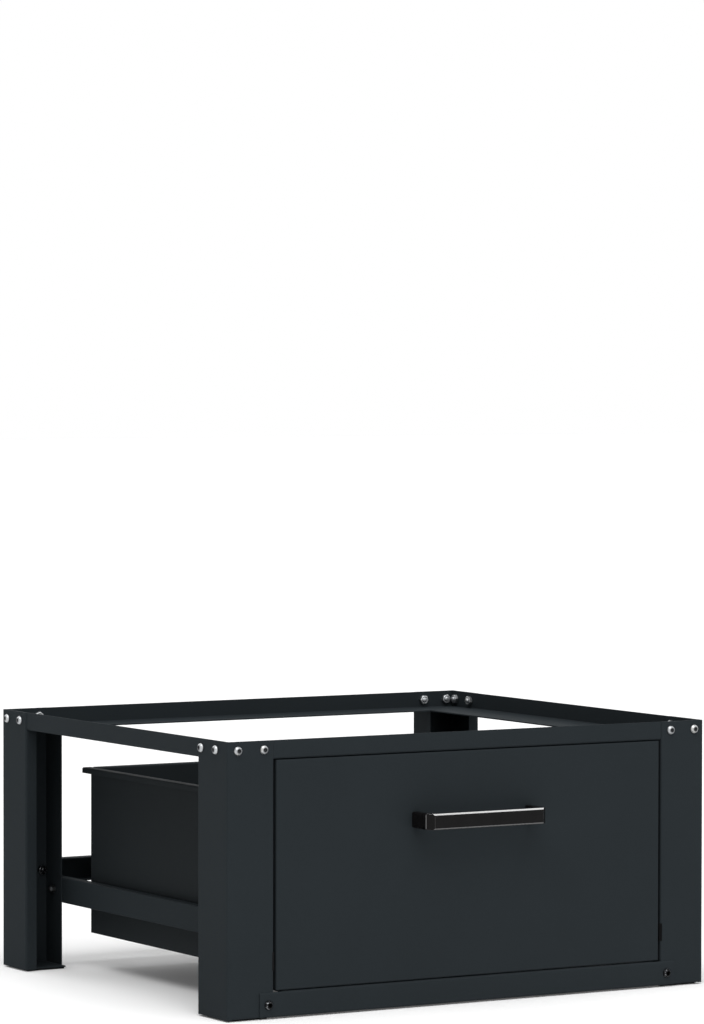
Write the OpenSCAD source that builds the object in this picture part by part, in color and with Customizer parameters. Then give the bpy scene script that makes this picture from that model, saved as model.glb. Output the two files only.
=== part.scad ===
// Washer pedestal with one drawer: a bolted sheet-steel stand that carries a washing machine.
// The stand is drawn about its own middle, on the floor, with the drawer front towards -Y.
// Every pressed part is one strip of sheet with round bends, drawn as its true section.

/* [Stand] */
// Width over the side faces
frame_w = 630; // [600:1:680]
// Depth from the front face to the rear face
frame_d = 545; // [520:1:600]
// Height of the top rim above the floor
frame_h = 306; // [296:1:340]
// Thickness of the legs and rails
sheet_t = 1.5; // [1.2:0.1:1.8]
// Inside radius of the bends in legs and rails
bend_r = 1; // [0.6:0.1:1.4]

/* [Legs] */
// Width of a leg's front or rear face
leg_face_w = 58.5; // [54:0.5:62]
// Width of a front leg's side face
front_side_w = 67; // [66:0.5:72]
// Width of a rear leg's side face
rear_side_w = 61; // [56:0.5:70]
// Depth of the return that carries the runner
leg_return_w = 40; // [30:1:50]
// Width of the lip on the side face's free edge
leg_lip_w = 14; // [8:1:20]
// Height above the floor of the notch in a front leg's edge
notch_z = 53; // [45:1:56]
// Length of the notch
notch_h = 20.5; // [10:0.5:21]
// How far the notch reaches into the face
notch_w = 2.1; // [1.6:0.1:4]
// How far the notch reaches back into the return
notch_d = 4; // [3:0.5:6]
// Wall of the rubber buffer that clips over the return in the notch
buffer_wall = 1.3; // [1:0.1:1.5]
// Depth of the buffer behind the face
buffer_d = 9; // [8:0.5:11]

/* [Feet] */
// Thickness of the rubber pad, which is also the gap under the legs
pad_h = 2; // [1.5:0.5:4]
// Side of the square pad
pad_size = 48; // [36:1:49]
// Inset of the pad from the leg's side face
pad_inset_x = 5.5; // [3:0.5:8]
// Inset of the pad from the leg's front or rear face
pad_inset_y = 7; // [4:0.5:10]
// Depth of the foot tab that is folded in over the pad
foot_tab_d = 57; // [56:0.5:59]

/* [Top rails] */
// Height of the raised rim that keeps the machine in place
rim_h = 21; // [20:0.5:28]
// Width of the front and rear shelf
end_shelf_w = 46.5; // [40:0.5:60]
// Width of the side shelves, from the rim's outside
side_shelf_w = 61; // [50:0.5:66]
// Gap between neighbouring rail ends
rail_seam = 0.3; // [0.2:0.1:1]

/* [Cross rails] */
// Height of the front bottom rail and the rear cross rail
cross_h = 28; // [26:0.5:32]
// How far both cross rails lap over the legs' faces
cross_lap = 18.5; // [16:0.5:26]
// Depth of their folded flanges
cross_flange_w = 18; // [10:0.5:22]
// Height of the rear cross rail above the floor
rear_cross_z = 98; // [80:1:140]

/* [Runners] */
// Height of the runners above the floor
runner_z = 76; // [76:1:110]
// Depth of the runner's flanges
runner_flange_w = 10; // [6:0.5:11]
// Gap between the runner's ends and the panel's plane
runner_setback = 14.5; // [13.5:0.5:20]
// Gap between the slide and the runner's flanges
slide_fit = 0.3; // [0.2:0.05:0.6]

/* [Slides] */
// Length of the outer member
slide_l = 450; // [430:5:460]
// Height of the slide's section
slide_h = 27; // [26:0.5:29]
// Depth of the closed slide, from the runner to the drawer's wall
slide_depth = 12.7; // [12.5:0.1:13.5]
// Sheet thickness of the three members
slide_t = 1; // [0.9:0.05:1.1]
// Ball diameter
ball_d = 3; // [2.8:0.1:3.1]
// Clearance between a ball and its raceway
race_fit = 0.05; // [0.02:0.01:0.08]
// How much lower the inner raceway sits than the outer one
race_drop = 1.6; // [1.2:0.1:2.2]
// Space between the outer and the middle web, where the cage runs
cage_space = 1.4; // [1.3:0.05:1.6]
// Sheet thickness of the ball cages
cage_t = 0.4; // [0.3:0.05:0.5]
// Balls in one row
balls_per_row = 8; // [4:1:10]
// Distance between the balls of a row
ball_pitch = 14; // [8:1:16]
// Travel of the drawer
drawer_travel = 430; // [300:10:430]

/* [Drawer] */
// Sheet thickness of the box's sides, floor and end walls
box_t = 1; // [0.8:0.1:1.2]
// Inside radius of the box's bends
box_bend_r = 1; // [0.6:0.1:1.4]
// Height of the sides' lower edge above the ground
box_z = 45; // [40:1:52]
// Height of the box from its lower edge to its rim
box_h = 196; // [150:1:205]
// Depth of the box
box_d = 446; // [400:1:452]
// Width of the sides' turned-out rim
rim_w = 11.7; // [8:0.1:12]
// Height of the rim's turned-down edge
rim_drop = 6.5; // [4:0.5:12]
// Depth of the floor's turned-down flanges, which lifts the floor above the lower edge
floor_flange_w = 10; // [8:0.5:20]
// Depth of the rear wall's flanges, which point out of the box
wall_flange_w = 12; // [8:0.5:20]
// Height of the hem on the front wall's top edge
hem_h = 10; // [6:0.5:14]
// Gap inside that hem
hem_gap = 0.6; // [0.5:0.1:0.9]

/* [Drawer front] */
// Sheet thickness of the front panel
panel_t = 1.2; // [0.8:0.1:1.5]
// Depth of the folded pan
panel_d = 12; // [11.5:0.5:13]
// Width of the pan's rear lips
panel_lip_w = 22; // [20:0.5:30]
// Gap between the panel and the legs
panel_side_gap = 3; // [2.5:0.1:5]
// Gap between the panel and the top rail
panel_top_gap = 0.8; // [0.6:0.1:4]
// Gap between the panel and the bottom rail
panel_bottom_gap = 1; // [1:0.1:4]
// Outside radius of the panel's edges
panel_edge_r = 1.8; // [1.6:0.1:2.4]

/* [Handle] */
// Length of the bar
handle_l = 159; // [120:1:320]
// How far the bar stands out from the panel
handle_out = 36; // [28:0.5:50]
// Height of the bar's section
handle_h = 18; // [14:0.5:24]
// Thickness of the bar and its posts
handle_t = 9; // [8:0.5:12]
// Chamfer of the bar's ends
handle_chamfer = 8; // [2:0.5:8]
// Chamfer of the inner corners between the bar and its posts
handle_inner_chamfer = 0.7; // [0.5:0.1:1]
// Bevel of the bar's long edges
handle_bevel = 1.6; // [0.5:0.1:2]
// Height of the bar's middle above the floor
handle_z = 210; // [120:1:240]

/* [Bolts] */
// Thread diameter of the frame bolts
bolt_d = 6; // [5:0.5:6]
// Head diameter of the frame bolts
bolt_head_d = 10.5; // [9.5:0.1:11]
// Head height of the frame bolts
bolt_head_h = 3.6; // [3:0.1:4.5]
// Hexagon socket in the head, across flats
bolt_socket = 4; // [3:0.5:5]
// Hexagon nut, across flats
nut_af = 10; // [9:0.5:10]
// Height of the nuts
nut_h = 4.5; // [3.5:0.1:4.5]
// Play between a bolt or screw and its hole
hole_fit = 0.3; // [0.2:0.05:0.4]
// Distance of the outer corner bolt from the corner
corner_bolt_in = 13; // [13:0.5:15]
// The same on the front legs' side faces
front_side_bolt_in = 26; // [24:0.5:27]
// Distance between the two corner bolts of a face
corner_bolt_gap = 32.7; // [26:0.1:33]
// Depth of the corner bolts below the rim's top
corner_bolt_z = 10; // [9:0.5:10.5]
// Distance of the cross rail bolts from the legs' inner edges
cross_bolt_in = 7.5; // [7.5:0.5:9]
// Distance of the runner bolts from the runner's ends
runner_bolt_in = 8.5; // [7:0.5:12]

/* [Screws] */
// Thread diameter of the small screws
screw_d = 4; // [3:0.5:4]
// Head diameter of the small screws
screw_head_d = 7.5; // [6.5:0.1:8]
// Head height of the small screws
screw_head_h = 2.2; // [1.8:0.1:2.4]
// Small nut, across flats
small_nut_af = 7; // [6:0.5:8]
// Height of the small nuts
small_nut_h = 3.2; // [2.4:0.1:3.4]
// Thread diameter of the runner's countersunk bolts
csk_d = 5; // [4:0.5:5]
// Depth of their countersink
csk_depth = 1.5; // [1:0.1:1.5]

/* [Hidden] */

$fn = 48;
eps = 0.5;

steel_dark = "#2f3438";
steel_box = "#25292c";
zinc = "#b9bec2";
black_metal = "#1c1d1f";
rubber_black = "#161616";
cage_steel = "#8f9498";

half_w = frame_w / 2;
half_d = frame_d / 2;
bend = sheet_t + bend_r;
rail_z = frame_h - rim_h;
shelf_top_z = rail_z + sheet_t;

// The whole stand is moved so that the middle of its box, handle and bolt heads included, is at Y 0
rear_reach = sheet_t + bolt_head_h;
frame_y = (handle_out - rear_reach) / 2;

// Gap edge of the legs' faces, on which the runners sit
gap_half_w = half_w - leg_face_w;
runner_h = slide_h + 2 * (sheet_t + slide_fit);
runner_half_l = half_d - runner_setback;
runner_web_x = gap_half_w - sheet_t;
slide_z = runner_z + runner_h / 2;
slide_gap_behind_panel = 2.5;
slide_y = panel_d + slide_gap_behind_panel - half_d;

// Raceways: the outer ball row runs at outer_row, the inner one at inner_row (depth, height)
race_r = ball_d / 2 + race_fit;
ring_out_r = race_r + slide_t;
ring_mid_r = race_r + slide_t / 2;
race_run = sqrt(pow(2 * ring_mid_r, 2) - pow(race_drop, 2));
race_lean = atan2(race_drop, race_run);
outer_row = [slide_t + race_r, slide_h / 2 - slide_t - race_r];
inner_row = outer_row + [race_run, -race_drop];
middle_web = slide_t + cage_space;
outer_curl = 30;
middle_curl = 20;
inner_curl = 240;
blend_angle = 1;
cage_lean = 30;
cage_reach = 0.9;
pocket_r = ball_d / 2 + 0.1;
outer_cage_web = slide_t + (cage_space - cage_t) / 2;
inner_curl_edge = inner_row[0] + ring_out_r * cos(inner_curl);
inner_cage_web = (middle_web + slide_t + inner_curl_edge - cage_t) / 2;
member_setback = 1;
middle_l = slide_l - 10;
inner_l = box_d - slide_gap_behind_panel;
cage_margin = 6;
cage_l = (balls_per_row - 1) * ball_pitch + 2 * cage_margin;
cage_y = slide_y + drawer_travel / 4 + 42;
bumper_l = 4;
bumper_gap = 1;

// The box hangs between the slides
box_half_w = runner_web_x - slide_depth;
box_in_x = box_half_w - box_t;
box_bend = box_t + box_bend_r;
box_front_y = panel_d - half_d;
box_rear_y = box_front_y + box_d;
box_in_front_y = box_front_y + box_t;
box_in_rear_y = box_rear_y - wall_flange_w;
box_top_z = box_z + box_h;
floor_top_z = box_z + floor_flange_w;
hem_r = 0.2;

cross_z = pad_h;
cross_l = 2 * (gap_half_w + cross_lap);
panel_half_w = gap_half_w - panel_side_gap;
panel_z = cross_z + cross_h + panel_bottom_gap;
panel_top = rail_z - panel_top_gap;
panel_h = panel_top - panel_z;
panel_window_half_w = panel_half_w - panel_lip_w;

// Play round the rubber buffers, and how far their noses stay behind the legs' faces
buffer_fit = 0.1;
buffer_in = 0.6;

// Where bolts and screws go
cross_bolt_x = gap_half_w + cross_bolt_in;
runner_bolt_y = runner_half_l - runner_bolt_in;
rivets_at = [slide_l * 0.5, slide_l * 0.9];
slide_screws_at = [28, inner_l / 2, inner_l - 40];
front_screw_x = (panel_window_half_w + box_in_x) / 2;
front_screws_at = [floor_top_z + 15, (floor_top_z + box_top_z) / 2, box_top_z - hem_h - 16];
handle_screw_x = handle_l / 2 - handle_t / 2;
handle_screw_depth = 18;
csk_head_d = csk_d + 2 * csk_depth;
tail = 1.5;
socket_depth = 2;
socket_land = 0.4;
rivet_fit = 0.05;

// ---- Section and placement helpers ----

// A quarter of a ring in the first quadrant
module quarter_ring(inner_r, outer_r) {
    intersection() {
        difference() {
            circle(r = outer_r);
            circle(r = inner_r);
        }
        square(outer_r + eps);
    }
}

// Sheet strip along +X with its thickness on the left; each turn is 1 (left) or -1 (right)
module folded_strip(runs, turns, t, r, i = 0) {
    square([runs[i], t]);
    if (i < len(turns) && turns[i] > 0) {
        translate([runs[i], t + r]) mirror([0, 1]) quarter_ring(r, r + t);
        translate([runs[i] + t + r, t + r]) rotate(90) folded_strip(runs, turns, t, r, i + 1);
    }
    if (i < len(turns) && turns[i] < 0) {
        translate([runs[i], -r]) quarter_ring(r, r + t);
        translate([runs[i] + r, -r]) rotate(-90) folded_strip(runs, turns, t, r, i + 1);
    }
}

// Part of a ring from angle a0 to angle a1, less than half a turn apart or exactly half
module ring_sector(at, inner_r, outer_r, a0, a1) {
    far = 2 * outer_r;
    mid = (a0 + a1) / 2;
    translate(at) intersection() {
        difference() {
            circle(r = outer_r);
            circle(r = inner_r);
        }
        polygon([
            [0, 0],
            far * [cos(a0), sin(a0)],
            2 * far * [cos((a0 + mid) / 2), sin((a0 + mid) / 2)],
            2 * far * [cos((mid + a1) / 2), sin((mid + a1) / 2)],
            far * [cos(a1), sin(a1)]
        ]);
    }
}

// Section in (X, Z) carried along +Y
module along_y(y, length) {
    translate([0, y + length, 0]) rotate([90, 0, 0]) linear_extrude(height = length) children();
}

// Section in (Y, Z) carried along +X
module along_x(x, length) {
    translate([x, 0, 0]) rotate([90, 0, 90]) linear_extrude(height = length) children();
}

// The stand's frame: everything is drawn through this
module place() {
    translate([0, frame_y, 0]) children();
}

// The child as drawn and its mirror image in X
module both_sides() {
    children();
    mirror([1, 0, 0]) children();
}

// ---- Fasteners, drawn with the head's seat at Z 0 and the shank going down ----

// Domed head that ends in a flat ring round its hexagon socket
module button_bolt(shank_l) {
    edge_r = bolt_head_d / 2;
    socket_r = bolt_socket / 2 / cos(30);
    land_r = socket_r + socket_land;
    dome_sink = (pow(edge_r, 2) - pow(land_r, 2) - pow(bolt_head_h, 2)) / (2 * bolt_head_h);
    difference() {
        union() {
            intersection() {
                translate([0, 0, -dome_sink]) sphere(r = norm([edge_r, dome_sink]));
                cylinder(d = bolt_head_d, h = bolt_head_h);
            }
            translate([0, 0, -shank_l]) cylinder(d = bolt_d, h = shank_l + eps);
        }
        translate([0, 0, bolt_head_h - socket_depth]) cylinder(r = socket_r, h = bolt_head_h, $fn = 6);
    }
}

module pan_screw(shank_l) {
    difference() {
        union() {
            cylinder(d1 = screw_head_d, d2 = screw_head_d * 0.8, h = screw_head_h);
            translate([0, 0, -shank_l]) cylinder(d = screw_d, h = shank_l + eps);
        }
        translate([0, 0, screw_head_h * 0.4]) {
            cube([screw_head_d * 0.6, 0.8, screw_head_h * 2], center = true);
            cube([0.8, screw_head_d * 0.6, screw_head_h * 2], center = true);
        }
    }
}

module countersunk_bolt(shank_l, d, depth) {
    translate([0, 0, -depth]) cylinder(d1 = d, d2 = d + 2 * depth, h = depth);
    translate([0, 0, -shank_l]) cylinder(d = d, h = shank_l - depth + 0.1);
}

module hex_nut(af, h, bore) {
    difference() {
        cylinder(d = af / cos(30), h = h, $fn = 6);
        translate([0, 0, -eps]) cylinder(d = bore, h = h + 2 * eps);
    }
}

// Closed nut with a round cap
module cap_nut(af, h, bore) {
    hex_nut(af, h, bore);
    translate([0, 0, h]) intersection() {
        sphere(d = af * 0.92);
        translate([-af, -af, 0]) cube(2 * af);
    }
}

module hole(d, length) {
    translate([0, 0, -length / 2]) cylinder(d = d + 2 * hole_fit, h = length);
}

// ---- Where the frame's bolts sit, as transforms with the head's seat at Z 0, outwards +Z ----

// The four bolts of the front left corner: two on the front face, two on the side face
module at_corner_bolts(side_bolt_in) {
    for (step = [0, corner_bolt_gap]) {
        translate([corner_bolt_in + step - half_w, -half_d, frame_h - corner_bolt_z])
            rotate([90, 0, 0]) children();
        translate([-half_w, side_bolt_in + step - half_d, frame_h - corner_bolt_z])
            rotate([0, -90, 0]) children();
    }
}

// The sixteen bolts of all four corners
module at_all_corner_bolts() {
    both_sides() {
        at_corner_bolts(front_side_bolt_in) children();
        mirror([0, 1, 0]) at_corner_bolts(corner_bolt_in) children();
    }
}

// The left bolt of the front bottom rail
module at_front_cross_bolt() {
    translate([-cross_bolt_x, -half_d - sheet_t, cross_z + cross_h / 2]) rotate([90, 0, 0]) children();
}

// The left bolt of the rear cross rail
module at_rear_cross_bolt() {
    translate([-cross_bolt_x, half_d + sheet_t, rear_cross_z + cross_h / 2])
        rotate([-90, 0, 0]) children();
}

// The left runner's bolts, seen from the drawer; the front one holds the slide too
module at_runner_bolt(y, seat) {
    translate([seat - runner_web_x, y, slide_z]) rotate([0, 90, 0]) children();
}

// ---- Legs and feet ----

module leg_section(side_w) {
    translate([leg_lip_w - half_w, side_w - half_d]) rotate(180)
        folded_strip(
            [leg_lip_w - bend, side_w - 2 * bend, leg_face_w - 2 * bend, leg_return_w - bend],
            [1, 1, 1], sheet_t, bend_r
        );
}

// Tab folded in from the bottom of the front face, over the pad
module foot_tab() {
    along_x(pad_inset_x - half_w, pad_size + 1)
        translate([-half_d, pad_h + 12]) rotate(-90)
            folded_strip([12 - bend, foot_tab_d - bend], [1], sheet_t, bend_r);
}

// Left leg drawn at the front corner, without the notch
module left_leg_form(side_w, side_bolt_in, cross_rail_z) {
    difference() {
        union() {
            translate([0, 0, pad_h]) linear_extrude(height = frame_h - pad_h) leg_section(side_w);
            foot_tab();
        }
        // The folded foot needs the face's corner off below it
        along_x(pad_inset_x - half_w, pad_size + 1)
            translate([-half_d, pad_h]) difference() {
                translate([-eps, -eps]) square(bend + eps);
                translate([bend, bend]) circle(r = bend);
            }
        // Return and lip stop under the rails' shelves
        translate([sheet_t - half_w, sheet_t - half_d, rail_z]) cube([leg_face_w, side_w, rim_h + eps]);
        at_corner_bolts(side_bolt_in) hole(bolt_d, 4 * sheet_t);
        translate([-cross_bolt_x, -half_d, cross_rail_z + cross_h / 2])
            rotate([90, 0, 0]) hole(bolt_d, 4 * sheet_t);
        at_runner_bolt(-runner_bolt_y, 0) hole(csk_d, 6 * sheet_t);
    }
}

// The front legs' gap edges are notched for the rubber buffers
module front_left_leg_form() {
    difference() {
        left_leg_form(front_side_w, front_side_bolt_in, cross_z);
        translate([-gap_half_w - notch_w, -half_d - eps, notch_z])
            cube([notch_w + eps, notch_d + eps, notch_h]);
    }
}

// Rear legs carry the same bends, with a narrower side face and their cross rail hole higher up
module rear_left_leg_form() {
    mirror([0, 1, 0]) left_leg_form(rear_side_w, corner_bolt_in, rear_cross_z);
}

module front_left_leg() {
    color(steel_dark) place() front_left_leg_form();
}

module front_right_leg() {
    color(steel_dark) place() mirror([1, 0, 0]) front_left_leg_form();
}

module rear_left_leg() {
    color(steel_dark) place() rear_left_leg_form();
}

module rear_right_leg() {
    color(steel_dark) place() mirror([1, 0, 0]) rear_left_leg_form();
}

// Clip with a nose in the notch and two arms round the return, in (depth into the leg, depth behind its face)
module buffer_section() {
    body_y = sheet_t + 2 * buffer_fit;
    difference() {
        union() {
            translate([buffer_fit, buffer_in]) square([notch_w - 2 * buffer_fit, sheet_t]);
            translate([-buffer_wall, body_y]) square([2 * buffer_wall + sheet_t + buffer_fit, buffer_d - body_y]);
        }
        translate([-buffer_fit, notch_d - buffer_fit]) square([sheet_t + 2 * buffer_fit, buffer_d]);
    }
}

// One in each front leg: it keeps the drawer front off the leg's edge
module edge_buffers() {
    color(rubber_black) place() both_sides()
        translate([-gap_half_w, -half_d, notch_z + buffer_fit]) mirror([1, 0, 0])
            linear_extrude(height = notch_h - 2 * buffer_fit) buffer_section();
}

// Square rubber pad with ribs across its underside
module front_left_pad_form() {
    rib_pitch = pad_size / 8;
    difference() {
        translate([pad_inset_x - half_w, pad_inset_y - half_d, 0]) cube([pad_size, pad_size, pad_h]);
        for (i = [1:7]) {
            translate([pad_inset_x - half_w - eps, pad_inset_y - half_d + i * rib_pitch - 0.5, -eps])
                cube([pad_size + 2 * eps, 1, eps + 0.6]);
        }
    }
}

module front_left_pad() {
    color(rubber_black) place() front_left_pad_form();
}

module front_right_pad() {
    color(rubber_black) place() mirror([1, 0, 0]) front_left_pad_form();
}

module rear_left_pad() {
    color(rubber_black) place() mirror([0, 1, 0]) front_left_pad_form();
}

module rear_right_pad() {
    color(rubber_black) place() mirror([1, 0, 0]) mirror([0, 1, 0]) front_left_pad_form();
}

// ---- Top rails: a raised rim with a shelf turned inwards at its foot ----

module rail_section(shelf_w) {
    translate([0, rim_h]) rotate(-90) folded_strip([rim_h - bend, shelf_w - bend], [1], sheet_t, bend_r);
}

module front_top_rail_form() {
    rim_half_l = half_w - 2 * sheet_t;
    shelf_half_l = rim_half_l - rail_seam;
    difference() {
        along_x(-rim_half_l, 2 * rim_half_l)
            translate([sheet_t - half_d, rail_z]) rail_section(end_shelf_w);
        // The shelf and the rim's bend stop short of the side rims
        both_sides() translate([shelf_half_l, 2 * sheet_t - half_d + rail_seam, rail_z - eps])
            cube([4 * sheet_t, end_shelf_w, rim_h + 2 * eps]);
        at_all_corner_bolts() hole(bolt_d, 6 * sheet_t);
    }
}

module front_top_rail() {
    color(steel_dark) place() front_top_rail_form();
}

module rear_top_rail() {
    color(steel_dark) place() mirror([0, 1, 0]) front_top_rail_form();
}

// The side rim runs from front rim to rear rim; its shelf fits between the front and rear shelves
module left_top_rail_form() {
    rim_half_l = half_d - 2 * sheet_t - rail_seam;
    shelf_half_l = half_d - sheet_t - end_shelf_w - rail_seam;
    difference() {
        along_y(-rim_half_l, 2 * rim_half_l)
            translate([sheet_t - half_w, rail_z]) rail_section(side_shelf_w);
        for (side = [-1, 1]) {
            translate([2 * sheet_t - half_w, side * (shelf_half_l + end_shelf_w), shelf_top_z])
                cube([2 * side_shelf_w, 2 * end_shelf_w, 2 * (sheet_t + bend_r) + eps], center = true);
        }
        at_all_corner_bolts() hole(bolt_d, 6 * sheet_t);
    }
    // The rim's foot keeps its full height over the notched ends
    for (side = [0, 1]) mirror([0, side, 0]) {
        translate([sheet_t - half_w, shelf_half_l, rail_z])
            cube([sheet_t, rim_half_l - shelf_half_l, bend + sheet_t + eps]);
    }
}

module left_top_rail() {
    color(steel_dark) place() left_top_rail_form();
}

module right_top_rail() {
    color(steel_dark) place() mirror([1, 0, 0]) left_top_rail_form();
}

// ---- Channels: front bottom rail, rear cross rail and runners ----

// Channel open towards +X of the section, its back on X 0 and its foot on Y 0
module channel_section(h, flange_w) {
    translate([flange_w, h]) rotate(180)
        folded_strip([flange_w - bend, h - 2 * bend, flange_w - bend], [1, 1], sheet_t, bend_r);
}

// Lies on the outside of the legs' faces, with its flanges between the runners' flanges
module cross_rail_form(z) {
    flange_half_l = gap_half_w - runner_flange_w - rail_seam;
    difference() {
        along_x(-cross_l / 2, cross_l)
            translate([-half_d - sheet_t, z]) channel_section(cross_h, cross_flange_w);
        both_sides() translate([flange_half_l, -half_d, z - eps])
            cube([cross_l, cross_flange_w + eps, cross_h + 2 * eps]);
        both_sides() translate([-cross_bolt_x, -half_d, z + cross_h / 2])
            rotate([90, 0, 0]) hole(bolt_d, 4 * sheet_t);
    }
}

module front_bottom_rail() {
    color(steel_dark) place() cross_rail_form(cross_z);
}

module rear_cross_rail() {
    color(steel_dark) place() mirror([0, 1, 0]) cross_rail_form(rear_cross_z);
}

// Countersink with play for a runner bolt, open at its seat
module bolt_sink() {
    translate([0, 0, -csk_depth]) cylinder(d1 = csk_d + 2 * hole_fit, d2 = csk_head_d + 2 * hole_fit, h = csk_depth);
    cylinder(d = csk_head_d + 2 * hole_fit, h = eps);
}

// Countersink of the runner bolt, from the runner's inner face
module runner_sink(y) {
    at_runner_bolt(y, 0) bolt_sink();
}

module left_runner_rail_form() {
    difference() {
        along_y(-runner_half_l, 2 * runner_half_l)
            translate([-gap_half_w, runner_z]) channel_section(runner_h, runner_flange_w);
        for (y = [-runner_bolt_y, runner_bolt_y]) {
            at_runner_bolt(y, 0) hole(csk_d, 4 * sheet_t);
            runner_sink(y);
        }
        for (at = rivets_at) at_runner_bolt(slide_y + at, slide_t) rivet_sink();
    }
}

module left_runner_rail() {
    color(steel_dark) place() left_runner_rail_form();
}

module right_runner_rail() {
    color(steel_dark) place() mirror([1, 0, 0]) left_runner_rail_form();
}

// ---- Telescopic slides: sections in (depth from the runner's web, height from the middle) ----

module top_and_bottom() {
    children();
    mirror([0, 1]) children();
}

module outer_member_section() {
    top_and_bottom() {
        square([slide_t, outer_row[1]]);
        ring_sector(outer_row, race_r, ring_out_r, outer_curl, 180);
    }
}

// The flange runs in an S: under the outer balls, then over the inner balls
module middle_member_section() {
    top_and_bottom() {
        translate([middle_web, 0]) square([slide_t, outer_row[1] - race_r]);
        ring_sector(outer_row, race_r, ring_out_r, 270, 360 - race_lean + blend_angle);
        ring_sector(inner_row, race_r, ring_out_r, middle_curl, 180 - race_lean + blend_angle);
    }
}

module inner_member_section() {
    run_y = inner_row[1] - ring_out_r;
    top_and_bottom() {
        translate([slide_depth - slide_t, 0]) square([slide_t, run_y + slide_t]);
        translate([inner_row[0], run_y]) square([slide_depth - inner_row[0], slide_t]);
        ring_sector(inner_row, race_r, ring_out_r, inner_curl, 270);
    }
}

// Cage strip: a web and two leaning flanges that end at the ball rows
module cage_section(web, row) {
    rise = (row[0] - web - cage_t / 2) * tan(cage_lean);
    lean_l = (row[0] - web - cage_t / 2) / cos(cage_lean);
    top_and_bottom() {
        translate([web, 0]) square([cage_t, row[1] - rise]);
        translate([web + cage_t / 2, row[1] - rise]) rotate(cage_lean)
            translate([-cage_t / 2, -cage_t / 2]) square([lean_l + cage_reach + cage_t / 2, cage_t]);
    }
}

// Left slide section carried along the drawer's travel
module left_slide_part(y, length) {
    translate([-runner_web_x, 0, slide_z]) along_y(y, length) children();
}

module at_balls(row) {
    for (i = [0:balls_per_row - 1], up = [-1, 1]) {
        translate([row[0] - runner_web_x, cage_y + cage_margin + i * ball_pitch, slide_z + up * row[1]])
            children();
    }
}

module left_slide_outer_form() {
    difference() {
        left_slide_part(slide_y, slide_l) outer_member_section();
        at_runner_bolt(-runner_bolt_y, slide_t) bolt_sink();
        for (at = rivets_at) at_runner_bolt(slide_y + at, slide_t) rivet_sink();
    }
}

module left_slide_middle_form() {
    left_slide_part(slide_y + member_setback, middle_l) middle_member_section();
}

module left_slide_inner_form() {
    difference() {
        left_slide_part(slide_y, inner_l) inner_member_section();
        for (at = slide_screws_at) at_slide_screw(at) hole(screw_d, 4 * slide_t);
    }
}

module left_cage_form(web, row) {
    difference() {
        left_slide_part(cage_y, cage_l) cage_section(web, row);
        at_balls(row) sphere(r = pocket_r);
    }
}

module left_balls_form(row) {
    at_balls(row) sphere(d = ball_d, $fn = 24);
}

// Screws through the inner member and the box's side, heads inside the slide
module at_slide_screw(at) {
    translate([slide_depth - slide_t - runner_web_x, slide_y + at, slide_z]) rotate([0, -90, 0]) children();
}

// Flush rivets between the outer member and the runner
module rivet_sink() {
    translate([0, 0, -slide_t])
        cylinder(d1 = screw_d + 2 * rivet_fit, d2 = screw_d + 2 * (rivet_fit + slide_t), h = slide_t + 0.01);
    translate([0, 0, -slide_t - 2 * sheet_t]) cylinder(d = screw_d + 2 * rivet_fit, h = slide_t + 2 * sheet_t);
}

module left_rivets_form() {
    for (at = rivets_at) {
        at_runner_bolt(slide_y + at, slide_t) {
            translate([0, 0, -slide_t]) cylinder(d1 = screw_d, d2 = screw_d + 2 * slide_t, h = slide_t);
            translate([0, 0, -slide_t - sheet_t]) cylinder(d = screw_d, h = sheet_t + 0.1);
        }
    }
}

module left_bumper_form() {
    width = outer_row[0] + ring_mid_r - slide_t;
    translate([slide_t - runner_web_x, slide_y + slide_l - bumper_gap - bumper_l, slide_z])
        translate([0, 0, 1 - outer_row[1]]) cube([width, bumper_l, 2 * outer_row[1] - 2]);
}

module left_slide_outer() {
    color(zinc) place() left_slide_outer_form();
}

module right_slide_outer() {
    color(zinc) place() mirror([1, 0, 0]) left_slide_outer_form();
}

module left_slide_middle() {
    color(zinc) place() left_slide_middle_form();
}

module right_slide_middle() {
    color(zinc) place() mirror([1, 0, 0]) left_slide_middle_form();
}

module left_slide_inner() {
    color(zinc) place() left_slide_inner_form();
}

module right_slide_inner() {
    color(zinc) place() mirror([1, 0, 0]) left_slide_inner_form();
}

module left_outer_cage() {
    color(cage_steel) place() left_cage_form(outer_cage_web, outer_row);
}

module right_outer_cage() {
    color(cage_steel) place() mirror([1, 0, 0]) left_cage_form(outer_cage_web, outer_row);
}

module left_inner_cage() {
    color(cage_steel) place() left_cage_form(inner_cage_web, inner_row);
}

module right_inner_cage() {
    color(cage_steel) place() mirror([1, 0, 0]) left_cage_form(inner_cage_web, inner_row);
}

module left_outer_balls() {
    color(zinc) place() left_balls_form(outer_row);
}

module right_outer_balls() {
    color(zinc) place() mirror([1, 0, 0]) left_balls_form(outer_row);
}

module left_inner_balls() {
    color(zinc) place() left_balls_form(inner_row);
}

module right_inner_balls() {
    color(zinc) place() mirror([1, 0, 0]) left_balls_form(inner_row);
}

module slide_rivets() {
    color(steel_dark) place() both_sides() left_rivets_form();
}

module slide_bumpers() {
    color(rubber_black) place() both_sides() left_bumper_form();
}

// ---- Frame fasteners ----

module corner_bolts() {
    color(zinc) place() at_all_corner_bolts() button_bolt(2 * sheet_t + nut_h + tail);
}

module corner_nuts() {
    color(zinc) place() at_all_corner_bolts()
        translate([0, 0, -2 * sheet_t - nut_h]) rotate(30) hex_nut(nut_af, nut_h, bolt_d + 2 * hole_fit);
}

module at_cross_bolts() {
    both_sides() {
        at_front_cross_bolt() children();
        at_rear_cross_bolt() children();
    }
}

module cross_rail_bolts() {
    color(black_metal) place() at_cross_bolts() button_bolt(2 * sheet_t + nut_h + tail);
}

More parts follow.
